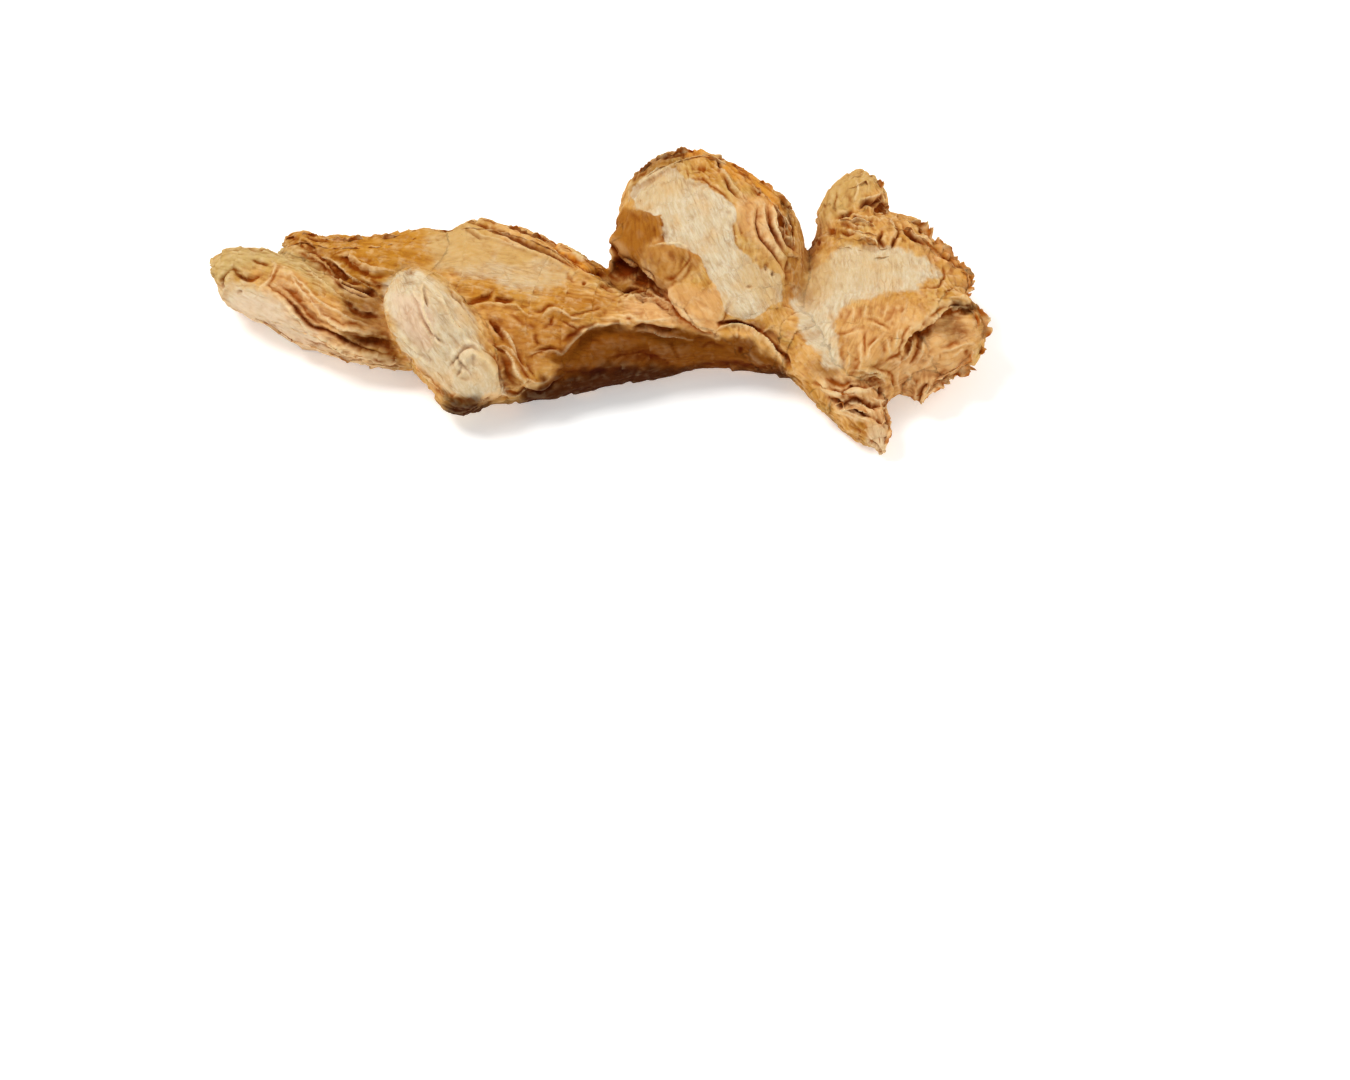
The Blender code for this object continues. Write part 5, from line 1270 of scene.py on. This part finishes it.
def sky_seen(points, normals):
    """The share of rays, spread evenly around the normal, that leave without meeting the skin."""
    triangles = np.empty(len(skin.polygons) * 3, int)
    skin.polygons.foreach_get("vertices", triangles)
    tree = BVHTree.FromPolygons(points.tolist(), triangles.reshape(-1, 3).tolist(), all_triangles=True)
    turns = np.arange(RAYS) * GOLDEN_TURN
    rises = np.sqrt((np.arange(RAYS) + 0.5) / RAYS)
    flat = np.sqrt(1 - rises ** 2)
    helper = np.where(np.abs(normals[:, 2:]) < NEARLY_UPRIGHT, (0.0, 0.0, 1.0), (1.0, 0.0, 0.0))
    side = np.cross(normals, helper)
    side /= np.linalg.norm(side, axis=1)[:, None]
    other = np.cross(normals, side)
    starts = (points + RAY_START * normals).tolist()
    seen = np.zeros(len(points))
    for turn, rise, spread in zip(turns, rises, flat):
        ways = normals * rise + (side * math.cos(turn) + other * math.sin(turn)) * spread
        seen += [tree.ray_cast(a, b, RAY_LENGTH)[0] is None for a, b in zip(starts, ways.tolist())]
    return seen / RAYS


points, normals = points_of(skin)
small = height_over_smoothed(SMALL_FORM_STEPS)
large = height_over_smoothed(LARGE_FORM_STEPS)
sky = sky_seen(points, normals)
print("sky seen, on average:", round(float(sky.mean()), 2))

# %% Write the masks on the mesh
# A painted highlight on crests, from the form and from the drawn lines.
PAINTED_HIGHLIGHT = {"from": 0.02, "full": 0.12, "by_form": 0.42, "by_line": 0.6}
# Painted shade in creases and hollows, from the form and from the drawn lines.
PAINTED_HOLLOW_SHADE = {"small": 0.10, "by_small": 0.5, "large": 0.7, "by_large": 0.4, "by_line": 0.9}
OPEN_SKY = 0.80
SKY_RANGE = 0.60
ROUND_THE_EDGE = -0.6
GRIME_STRENGTH = 0.5
GRIME_PATCHES = {"size": 7.0, "shift": 40.0, "middle": 0.0, "swing": 3.0, "low": 0, "high": 1}


def keep(mesh, name, values):
    attribute = mesh.attributes.new(name, "FLOAT", "POINT")
    attribute.data.foreach_set("value", np.clip(values, 0, 1).astype(np.float32))


def keep_grain(mesh, vectors):
    attribute = mesh.attributes.new("grain", "FLOAT_VECTOR", "POINT")
    attribute.data.foreach_set("vector", vectors.astype(np.float32).ravel())


_, light, dark = folded(points, normals, ["lip", "ridge", "crease", "shade_line", "pit"])
grain = lobe_places(points)
wavering = shaken(points, WAVERING_SHAKES)
in_view = turned(normals, ROUND_THE_EDGE)
grimy = GRIME_STRENGTH * patchy(points, **GRIME_PATCHES) * (1 - in_view)
keep(skin, "bare", bare_flesh(points, normals))
# The next three masks paint light and shade: a highlight on crests, shade in hollows, and shade where little
# sky is seen.
keep(skin, "crest_highlight", (small - PAINTED_HIGHLIGHT["from"]) / PAINTED_HIGHLIGHT["full"] * PAINTED_HIGHLIGHT["by_form"]
     + PAINTED_HIGHLIGHT["by_line"] * light)
keep(skin, "hollow_shade", -small / PAINTED_HOLLOW_SHADE["small"] * PAINTED_HOLLOW_SHADE["by_small"]
     - large / PAINTED_HOLLOW_SHADE["large"] * PAINTED_HOLLOW_SHADE["by_large"] + PAINTED_HOLLOW_SHADE["by_line"] * dark)
keep(skin, "sky_shade", (OPEN_SKY - sky) / SKY_RANGE)
for name, tint in TINTS.items():
    keep(skin, name, strongest(wavering, tint["places"]) * in_view + (grimy if name == "umber_and_shade" else 0))
keep_grain(skin, grain)
print("attributes:", [a.name for a in skin.attributes if not a.is_internal])

# %% [markdown]
# ## The finish of the dried skin
#
# One material covers skin and flesh, because they are one surface and run into each other. Its colour
# is built in layers, each mixed over the last by a mask: golden skin with slow patches, the tinted
# places, bare flesh with fine fibres, painted highlights on crests, and painted shade in hollows last.
# One line of script makes one layer and hands on the new colour, which is easier to follow than a page
# of wires.
#
# Dark grain and painted shade lie on top of the skin, so they are multiplied in and keep what is under them.

# %% Colours
SKIN = "#D9A45C"
SKIN_DARK = "#C08634"
SKIN_OLIVE = "#C8A25A"
SKIN_PEACH = "#D6A066"
FLESH = "#E0D1B2"
FLESH_GREY = "#C8AC80"
# Pale rubbed patches, and the painted highlight on crests.
PALE_WEAR_AND_HIGHLIGHT = "#F2D8A8"
# Darkens the fibres and cracks, and is the painted shade in hollows.
DARK_GRAIN_AND_SHADE = "#B87C36"
# Painted shade where the skin sees little of the sky.
SKY_SHADE_COLOUR = "#AC6E1E"
SPECK = "#7A4E22"


def linear(code):
    """A colour code as the linear numbers that shaders use."""
    shares = [int(code[i:i + 2], 16) / 255 for i in (1, 3, 5)]
    return tuple(s / 12.92 if s <= 0.04045 else ((s + 0.055) / 1.055) ** 2.4 for s in shares) + (1.0,)


print("skin in linear numbers:", np.round(linear(SKIN), 2).tolist())

# %% Small helpers that add nodes
GRAIN_STRETCH = 0.35
FIBRE_STRETCH = 0.12


def fill_in(node, settings):
    for name, value in settings.items():
        node.inputs[name].default_value = value


class Finish:
    """A node tree and the nodes that are used over and over in it."""

    def __init__(self, name):
        self.material = bpy.data.materials.new(name)
        self.material.use_nodes = True
        self.tree = self.material.node_tree
        self.shader = self.tree.nodes["Principled BSDF"]
        self.place = self.add("ShaderNodeTexCoord").outputs["Object"]
        self.grain = self.drawn_out(GRAIN_STRETCH)

    def add(self, kind, **settings):
        node = self.tree.nodes.new(kind)
        for name, value in settings.items():
            setattr(node, name, value)
        return node

    def link(self, value, socket):
        if isinstance(value, bpy.types.NodeSocket):
            self.tree.links.new(value, socket)
        else:
            socket.default_value = value

    def attribute(self, name, output="Fac"):
        return self.add("ShaderNodeAttribute", attribute_name=name).outputs[output]

    def drawn_out(self, stretch):
        """Places around and along the lobes, squeezed lengthwise so that a pattern is drawn out."""
        node = self.add("ShaderNodeMapping")
        self.link(self.attribute("grain", "Vector"), node.inputs["Vector"])
        node.inputs["Scale"].default_value = (1.0, 1.0, stretch)
        return node.outputs["Vector"]

    def math(self, operation, a, b=0.0):
        node = self.add("ShaderNodeMath", operation=operation)
        self.link(a, node.inputs[0])
        self.link(b, node.inputs[1])
        return node.outputs[0]

    def noise(self, size, place=None, detail=3.0, rough=0.55):
        """Noise whose lumps are about size millimetres, from 0 to 1."""
        node = self.add("ShaderNodeTexNoise")
        scale = 1 / size if place else 1 / (size * MM)
        fill_in(node, {"Scale": scale, "Detail": detail, "Roughness": rough})
        self.link(place or self.place, node.inputs["Vector"])
        return node.outputs["Fac"]

    def cracks(self, size, wander, edge):
        """Thin lines, 1 at their middle, around cells of size millimetres drawn out along the grain."""
        shake = self.add("ShaderNodeTexNoise")
        shake.inputs["Scale"].default_value = 1 / size
        self.link(self.grain, shake.inputs["Vector"])
        moved = self.add("ShaderNodeVectorMath", operation="MULTIPLY_ADD")
        self.link(shake.outputs["Color"], moved.inputs[0])
        moved.inputs[1].default_value = (wander * size,) * 3
        self.link(self.grain, moved.inputs[2])
        cells = self.add("ShaderNodeTexVoronoi", feature="DISTANCE_TO_EDGE")
        cells.inputs["Scale"].default_value = 1 / size
        self.link(moved.outputs["Vector"], cells.inputs["Vector"])
        return self.between(cells.outputs["Distance"], 0.0, edge, 1.0, 0.0)

    def between(self, value, low, high, to_low=0.0, to_high=1.0):
        node = self.add("ShaderNodeMapRange", interpolation_type="SMOOTHSTEP")
        self.link(value, node.inputs["Value"])
        fill_in(node, {"From Min": low, "From Max": high, "To Min": to_low, "To Max": to_high})
        return node.outputs["Result"]


# %% The dried skin's material
SHADER_SETTINGS = {
    "Roughness": 0.85,
    "Specular IOR Level": 0.04,
    "Subsurface Weight": 0.05,
    "Subsurface Radius": (1.0, 0.45, 0.15),
    "Subsurface Scale": 1.2 * MM,
}
BUMP_SETTINGS = {"Strength": 0.75, "Distance": 0.12 * MM}
UNDER_FLESH = ["golden", "olive", "cream", "peach", "umber_and_shade", "flap", "rust", "amber_rim_glow"]
OVER_FLESH = ["pale_pink", "ochre", "painted_shadow"]
UNRUBBED = ["umber_and_shade", "flap", "amber_rim_glow", "painted_shadow"]

finish = Finish("dried_skin")


def mixed(share, a, b, blend="MIX"):
    """The Mix node's colour sockets share their names with its others, so they are found by type."""
    node = finish.add("ShaderNodeMix", data_type="RGBA", blend_type=blend)
    colours = [s for s in node.inputs if s.type == "RGBA"]
    finish.link(share, node.inputs[0])
    finish.link(linear(a) if isinstance(a, str) else a, colours[0])
    finish.link(linear(b) if isinstance(b, str) else b, colours[1])
    return next(s for s in node.outputs if s.type == "RGBA")


fibres = finish.noise(0.45, finish.drawn_out(FIBRE_STRETCH), detail=4.0)

ragged = finish.math("ADD", finish.math("MULTIPLY", finish.noise(1.3, detail=4.0), 0.8),
                     finish.math("MULTIPLY", fibres, 0.5))
bare_mask = finish.between(finish.math("ADD", finish.attribute("bare"), ragged), 0.82, 1.42)
wide_cracks = finish.cracks(2.6, 0.9, 0.10)
close_cracks = finish.cracks(1.1, 0.5, 0.12)

colour = mixed(finish.between(finish.noise(4.0), 0.35, 0.70), SKIN, SKIN_DARK)
colour = mixed(finish.between(finish.noise(6.5), 0.50, 0.70, 0.0, 0.7), colour, SKIN_OLIVE)
colour = mixed(finish.between(finish.noise(2.6), 0.55, 0.75, 0.0, 0.7), colour, SKIN_PEACH)
for name in UNDER_FLESH:
    colour = mixed(finish.attribute(name), colour, TINTS[name]["colour"])
colour = mixed(finish.between(fibres, 0.46, 0.70, 0.0, 0.30), colour, DARK_GRAIN_AND_SHADE, "MULTIPLY")
rubbed = finish.between(finish.noise(1.4, detail=5.0), 0.50, 0.68, 0.0, 0.22)
covered = finish.attribute(UNRUBBED[0])
for name in UNRUBBED[1:]:
    covered = finish.math("MAXIMUM", covered, finish.attribute(name))
rubbed = finish.math("MULTIPLY", rubbed, finish.math("SUBTRACT", 1.0, covered))
colour = mixed(rubbed, colour, PALE_WEAR_AND_HIGHLIGHT)

lumps = finish.noise(0.55, finish.grain, detail=5.0, rough=0.7)
streaks = finish.noise(1.7, finish.grain, detail=4.0)
flesh = mixed(finish.between(lumps, 0.30, 0.70, 0.8, 0.0), FLESH, FLESH_GREY)
flesh = mixed(finish.between(streaks, 0.45, 0.70, 0.0, 0.40), flesh, FLESH_GREY)
flesh = mixed(finish.between(finish.noise(4.0, detail=2.0), 0.45, 0.70, 0.0, 0.35), flesh, SKIN)
flesh = mixed(finish.between(fibres, 0.52, 0.75, 0.0, 0.20), flesh, SKIN_DARK)
colour = mixed(bare_mask, colour, flesh)
for name in OVER_FLESH:
    colour = mixed(finish.attribute(name), colour, TINTS[name]["colour"])

cracked = finish.math("MAXIMUM", wide_cracks, finish.math("MULTIPLY", close_cracks, 0.7))
cracked = finish.math("MULTIPLY", cracked, finish.between(finish.noise(3.2), 0.42, 0.66, 0.15, 1.0))
colour = mixed(finish.math("MULTIPLY", cracked, 0.34), colour, DARK_GRAIN_AND_SHADE, "MULTIPLY")
# Painted highlights on the crests, weaker on the covered tints.
crest_highlight = finish.math("MULTIPLY", finish.attribute("crest_highlight"), finish.between(covered, 0.0, 1.0, 0.75, 0.3))
colour = mixed(crest_highlight, colour, PALE_WEAR_AND_HIGHLIGHT)
# Less of the painted shade on bare flesh.
shade_kept = finish.math("SUBTRACT", 1.0, finish.math("MULTIPLY", bare_mask, 0.6))
# Painted shade in hollows, creases and pits.
colour = mixed(finish.math("MULTIPLY", finish.attribute("hollow_shade"), shade_kept), colour, DARK_GRAIN_AND_SHADE, "MULTIPLY")
# Painted shade where the skin sees little of the sky.
shade = finish.math("MULTIPLY", finish.attribute("sky_shade"), finish.math("MULTIPLY", shade_kept, 0.8))
colour = mixed(shade, colour, SKY_SHADE_COLOUR, "MULTIPLY")
specks = finish.between(finish.noise(0.6, detail=2.0), 0.70, 0.80)
colour = mixed(finish.math("MULTIPLY", specks, 0.5), colour, SPECK)

bump = finish.add("ShaderNodeBump")
relief = finish.math("ADD", fibres, finish.noise(0.35, detail=4.0))
relief = finish.math("ADD", relief, finish.math("MULTIPLY", lumps, bare_mask))
finish.link(finish.math("SUBTRACT", relief, cracked), bump.inputs["Height"])
finish.link(bump.outputs["Normal"], finish.shader.inputs["Normal"])
finish.link(colour, finish.shader.inputs["Base Color"])
fill_in(bump, BUMP_SETTINGS)
fill_in(finish.shader, SHADER_SETTINGS)
print("nodes in the finish:", len(finish.tree.nodes))

# %% The skin as a piece of the scene
skin.materials.clear()
skin.materials.append(finish.material)
rhizome_skin = placed("rhizome_skin", skin)
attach(rhizome_skin, "root")
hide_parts("rhizome")
print("rhizome_skin rides on root")

# %% [markdown]
# ## Torn rims
#
# Along its rims the dried skin is frayed: thin scraps stand up and curl outwards, none like its
# neighbour. They follow paths, which is work for Geometry Nodes. The tree takes curves that lie on the
# skin, cuts them into short steps, and sweeps a small curved profile along them. A noise scales the
# profile from almost nothing to a full scrap, which gives the gaps and the ragged edge, and a second
# noise crumples the result. Modelling the scraps one by one would take long and look repeated.
#
# The paths are drawn like the folds, with the outside on the left of the line. Each is used twice: on
# the rim itself, and a little further in, where lower scraps stand up more steeply.

# %% The rims, drawn as lines
RIMS = [
    (1.1, [(5, 20.6), (5.2, 23.5), (7.6, 26.5), (10.8, 28.2), (14.5, 29.2), (17.3, 29.4), (20.3, 28.5),
           (23.9, 26.5), (27.1, 23.7), (29.5, 21.1), (31, 18.7), (31.5, 15.3), (31.8, 12.9)]),
    (1.8, [(47.7, 20), (48.4, 17.9), (50.8, 17.6), (53.2, 15.8), (55.8, 13.1), (58.4, 11.3), (60.8, 9.4),
           (61.3, 6.5), (60.6, 4.8)]),
    (2.4, [(61, 4.2), (62.3, 1.9), (62.6, -0.5), (62.3, -3.2), (60.8, -5.6), (58.7, -7.7), (56.1, -9.4),
           (53.5, -10.3), (51.9, -12.6)]),
    (1.2, [(40, 24.5), (43.2, 25.6), (45.5, 24.2), (46.8, 21.8), (47.9, 19.7)]),
    (0.9, [(-51.3, 14.8), (-48.1, 15.8), (-43.2, 14.8), (-38.4, 14.8), (-33.5, 15.2), (-28.7, 16.8)]),
    (0.8, [(-25.5, 17.4), (-19.8, 18.1), (-14.2, 16.8), (-8.5, 14.8), (-3.7, 12.1), (1.3, 9.2)]),
    (0.7, [(-31.3, -6.8), (-35.2, -6.5), (-40, -5.8), (-44.8, -3.5), (-49.7, -1.9), (-53.7, -0.3),
           (-56.9, 1.3)]),
    (0.6, [(-22.9, -12.3), (-25.2, -10.2), (-27.4, -8.1), (-29.7, -6.1)]),
    (1.2, [(46.8, -11.6), (47.1, -14.2), (46.5, -17.1), (45.6, -19.7)]),
    (0.6, [(29.9, 19), (30.2, 17.3), (30.9, 15.2), (31.5, 13.6)]),
    (0.9, [(38.4, 14.8), (40.3, 14.8), (42.6, 14.2), (44.8, 13.2), (46.8, 12.9)]),
    (0.9, [(38.1, 17.3), (40.3, 17.7), (42.6, 17.4), (45.2, 16.5)]),
    (0.9, [(43.5, -13.5), (41.6, -12.6), (39.4, -12.6), (37.7, -11.9)]),
]
# Each row of scraps: how far in from the rim, how steeply it stands up, and its share of the height.
ROWS_OF_SCRAPS = ((0.0, 0.6, 1.0), (1.5, 1.2, 0.55))
SEAT_REACH = 0.5
SEAT_DEPTH = 0.12
SEAT_SMOOTHINGS = 2
STEPS_PER_SPAN = 6
RIM_END = 0.02


def seated(line, height, inwards, lift):
    """Points on the skin under a line, the way outwards there, and how tall the scraps may be."""
    line = smooth_rows(line, STEPS_PER_SPAN)
    rows = []
    for a, b in zip(line[:-1], line[1:]):
        left = np.array([a[1] - b[1], b[0] - a[0]]) / np.hypot(*(b - a))
        distance = np.hypot(*(skin_places - a + inwards * left).T)
        near = np.flatnonzero(distance < distance.min() + SEAT_REACH)
        index = near[np.argmax(skin_depth[near])]
        outward = left[0] * ACROSS + left[1] * UPWARD + lift * normals[index]
        rows.append(np.concatenate([points[index] - SEAT_DEPTH * normals[index], outward]))
    rows = np.array(rows)
    for _ in range(SEAT_SMOOTHINGS):
        rows[1:-1] = (rows[:-2] + 2 * rows[1:-1] + rows[2:]) / 4
    share = np.linspace(0, 1, len(rows))
    return rows[:, :3], rows[:, 3:], height * swelling(share, RIM_END)


skin_places = drawn_at(points)
skin_depth = points @ TOWARDS
seats, outward, tallness, edges = [], [], [], []
for height, line in RIMS:
    for inwards, lift, share in ROWS_OF_SCRAPS:
        places, ways, heights = seated(line, share * height, inwards, lift)
        edges += [(len(seats) + i, len(seats) + i + 1) for i in range(len(places) - 1)]
        seats += list(places * MM)
        outward += list(ways)
        tallness += list(heights * MM)
paths = bpy.data.meshes.new("rim_paths")
paths.from_pydata(seats, edges, [])
paths.attributes.new("outward", "FLOAT_VECTOR", "POINT").data.foreach_set("vector", np.ravel(outward))
paths.attributes.new("tallness", "FLOAT", "POINT").data.foreach_set("value", tallness)
print("rims:", len(RIMS), "with", len(seats), "seats")

# %% The tree that grows scraps on the paths
SCRAP_SEED = 4
SCRAP_SIZES = {"Step": 0.22 * MM, "Jag size": 2.2 * MM, "Crumple": 1.3 * MM, "Thickness": 0.10 * MM}
MERGE_DISTANCE = 0.002 * MM


def torn_rim_tree():
    tree = bpy.data.node_groups.new("torn_rim", "GeometryNodeTree")
    tree.is_modifier = True

    def add(kind, settings=None, **inputs):
        node = tree.nodes.new(kind)
        for name, value in (settings or {}).items():
            setattr(node, name, value)
        for name, value in inputs.items():
            socket = node.inputs[int(name[1:])] if name[0] == "i" else node.inputs[name.replace("_", " ")]
            if isinstance(value, bpy.types.NodeSocket):
                tree.links.new(value, socket)
            else:
                socket.default_value = value
        return node

    tree.interface.new_socket("Paths", in_out="INPUT", socket_type="NodeSocketGeometry")
    for name, value in SCRAP_SIZES.items():
        tree.interface.new_socket(name, in_out="INPUT", socket_type="NodeSocketFloat").default_value = value
    tree.interface.new_socket("Seed", in_out="INPUT", socket_type="NodeSocketInt").default_value = SCRAP_SEED
    tree.interface.new_socket("Material", in_out="INPUT", socket_type="NodeSocketMaterial")
    tree.interface.new_socket("Scraps", in_out="OUTPUT", socket_type="NodeSocketGeometry")
    given = add("NodeGroupInput").outputs

    curve = add("GeometryNodeMeshToCurve", Mesh=given["Paths"]).outputs["Curve"]
    curve = add("GeometryNodeResampleCurve", {"mode": "LENGTH"}, Curve=curve,
                Length=given["Step"]).outputs["Curve"]
    outward = add("GeometryNodeInputNamedAttribute", {"data_type": "FLOAT_VECTOR"}, Name="outward")
    curve = add("GeometryNodeSetCurveNormal", {"mode": "FREE"}, Curve=curve,
                Normal=outward.outputs["Attribute"]).outputs["Curve"]

    place = add("GeometryNodeInputPosition").outputs["Position"]

    def calculated(operation, a, b):
        return add("ShaderNodeMath", {"operation": operation}, i0=a, i1=b).outputs[0]

    def seeded_noise(output, **inputs):
        return add("ShaderNodeTexNoise", {"noise_dimensions": "4D"}, Vector=place, W=given["Seed"],
                   **inputs).outputs[output]

    jag_scale = calculated("DIVIDE", 1.0, given["Jag size"])
    flaps = seeded_noise("Fac", Scale=jag_scale, Detail=1.0)
    flaps = add("ShaderNodeMapRange", Value=flaps, From_Min=0.44, From_Max=0.53, To_Min=0.06, To_Max=1.0)
    jags = seeded_noise("Fac", Scale=calculated("MULTIPLY", jag_scale, 1.9), Detail=2.0, Roughness=0.7)
    jags = add("ShaderNodeMapRange", Value=jags, From_Min=0.32, From_Max=0.68, To_Min=0.35, To_Max=1.15)
    tallness = add("GeometryNodeInputNamedAttribute", {"data_type": "FLOAT"}, Name="tallness")
    scale = tallness.outputs["Attribute"]
    for share in (flaps, jags):
        scale = calculated("MULTIPLY", scale, share.outputs["Result"])
    profile = add("GeometryNodeCurveQuadraticBezier", Resolution=4, Start=(-0.2, 0.0, 0.0),
                  Middle=(0.7, 0.0, 0.0), End=(1.0, 0.6, 0.0)).outputs["Curve"]
    scraps = add("GeometryNodeCurveToMesh", Curve=curve, Profile_Curve=profile, Scale=scale).outputs["Mesh"]

    ripple = seeded_noise("Color", Scale=jag_scale, Detail=3.0)
    ripple = add("ShaderNodeVectorMath", {"operation": "SUBTRACT"}, i0=ripple,
                 i1=(0.5, 0.5, 0.5)).outputs[0]
    ripple = add("ShaderNodeVectorMath", {"operation": "SCALE"}, i0=ripple,
                 Scale=given["Crumple"]).outputs[0]
    scraps = add("GeometryNodeSetPosition", Geometry=scraps, Offset=ripple).outputs["Geometry"]

    outer = add("GeometryNodeExtrudeMesh", Mesh=scraps, Offset_Scale=given["Thickness"], Individual=False)
    inner = add("GeometryNodeFlipFaces", Mesh=scraps).outputs["Mesh"]
    both = add("GeometryNodeJoinGeometry")
    for mesh in (outer.outputs["Mesh"], inner):
        tree.links.new(mesh, both.inputs["Geometry"])
    closed = add("GeometryNodeMergeByDistance", Geometry=both.outputs["Geometry"], Distance=MERGE_DISTANCE)
    real = add("GeometryNodeRealizeInstances", Geometry=closed.outputs["Geometry"])
    finished = add("GeometryNodeSetMaterial", Geometry=real.outputs["Geometry"], Material=given["Material"])
    add("NodeGroupOutput", Scraps=finished.outputs["Geometry"])
    return tree


# %% Grow the scraps and give them the skin's colours
SKIN_COLOUR_SHARE = 0.7
SCRAP_PATCH = 1.2
# For each mask: what the scraps have more of it than the skin, and how far patches change that. Here
# that is more painted highlight, painted shade and painted rim glow, in patches.
SCRAP_EXTRAS = {"crest_highlight": (0.25, 0.8), "hollow_shade": (0.25, -1.0), "amber_rim_glow": (0.3, -0.6)}


def grown(mesh, tree, **values):
    """The mesh after this Geometry Nodes tree, with these inputs by name."""
    worker = placed("worker", mesh)
    step = worker.modifiers.new("grow", "NODES")
    step.node_group = tree
    for name, value in values.items():
        step[tree.interface.items_tree[name].identifier] = value
    return plain_mesh(worker)


scraps = grown(paths, torn_rim_tree(), Material=finish.material, Seed=SCRAP_SEED)
scrap_points, _ = points_of(scraps)
finder = KDTree(len(points))
for index, point in enumerate(points):
    finder.insert(point, index)
finder.balance()
nearest = np.array([finder.find(point)[1] for point in scrap_points])
patches = noise_at(scrap_points / SCRAP_PATCH)
for name in ["bare", "crest_highlight", "hollow_shade", *TINTS]:
    values = np.empty(len(points), np.float32)
    skin.attributes[name].data.foreach_get("value", values)
    more, swing = SCRAP_EXTRAS.get(name, (0.0, 0.0))
    keep(scraps, name, SKIN_COLOUR_SHARE * values[nearest] + (more + swing * patches))
keep_grain(scraps, grain[nearest])
scraps.shade_smooth()
rim_scraps = placed("rim_scraps", scraps)
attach(rim_scraps, "root")
print("rim_scraps:", len(scraps.polygons), "faces")

# %% [markdown]
# ## Table, light and camera
#
# The table is a plain near-white sheet that glows a little, as a light table does, so that shadows on
# it stay pale. The light is soft and bright, as in a light tent: a wide lamp above and to the left, a
# weaker one in front, one low at the right that lights the edges, and a white surround. The camera is
# far away, with a long lens, which keeps the shapes nearly free of perspective.

# %% Table
TABLE_SIZE = 3.0
WHITE = (1.0, 1.0, 1.0, 1.0)
PAPER_SETTINGS = {
    "Base Color": linear("#FAFAF8"),
    "Roughness": 0.9,
    "Emission Color": WHITE,
    "Emission Strength": 0.28,
}

table_mesh = bpy.data.meshes.new("table")
half = TABLE_SIZE / 2
table_mesh.from_pydata([(-half, -half, 0), (half, -half, 0), (half, half, 0), (-half, half, 0)], [],
                       [(0, 1, 2, 3)])
paper = bpy.data.materials.new("white_paper")
paper.use_nodes = True
fill_in(paper.node_tree.nodes["Principled BSDF"], PAPER_SETTINGS)
table_mesh.materials.append(paper)
table = placed("table", table_mesh)
print("table:", TABLE_SIZE, "m")

# %% Lamps
LAMPS = {
    "key": {"place": (-0.40, 0.10, 0.70), "size": 0.35, "power": 4.4},
    "fill": {"place": (0.20, -0.75, 0.50), "size": 0.6, "power": 1.5},
    "edge": {"place": (0.65, 0.25, 0.40), "size": 0.3, "power": 2.2},
}
SURROUND = 0.46


def lamp(name, place, size, power):
    light = bpy.data.lights.new(name, "AREA")
    light.shape = "DISK"
    light.size = size
    light.energy = power
    holder = placed(name, light)
    holder.location = place
    holder.rotation_euler = (-Vector(place)).to_track_quat("-Z", "Y").to_euler()


for name, values in LAMPS.items():
    lamp(name, **values)
world = bpy.data.worlds.new("surround")
world.use_nodes = True
fill_in(world.node_tree.nodes["Background"], {"Color": WHITE, "Strength": SURROUND})
bpy.context.scene.world = world
bpy.context.scene.view_settings.view_transform = "Standard"
print("lamps:", list(LAMPS))

# %% Camera
PICTURE_WIDTH = 1350
PIXELS_PER_MM = 6.2
LENS = 200.0
SENSOR = 36.0
PICTURE_CENTRE = (12.42, -33.87)

distance = LENS / SENSOR * PICTURE_WIDTH / PIXELS_PER_MM
aim = (ACROSS * PICTURE_CENTRE[0] + UPWARD * PICTURE_CENTRE[1] - DRAWING_ORIGIN) * MM
camera = placed("camera", bpy.data.cameras.new("camera"))
camera.data.lens = LENS
camera.data.sensor_width = SENSOR
camera.location = aim + TOWARDS * distance * MM
camera.rotation_mode = "QUATERNION"
camera.rotation_quaternion = Vector(-TOWARDS).to_track_quat("-Z", "Y")
bpy.context.scene.camera = camera
print("camera at", round(distance), "mm")
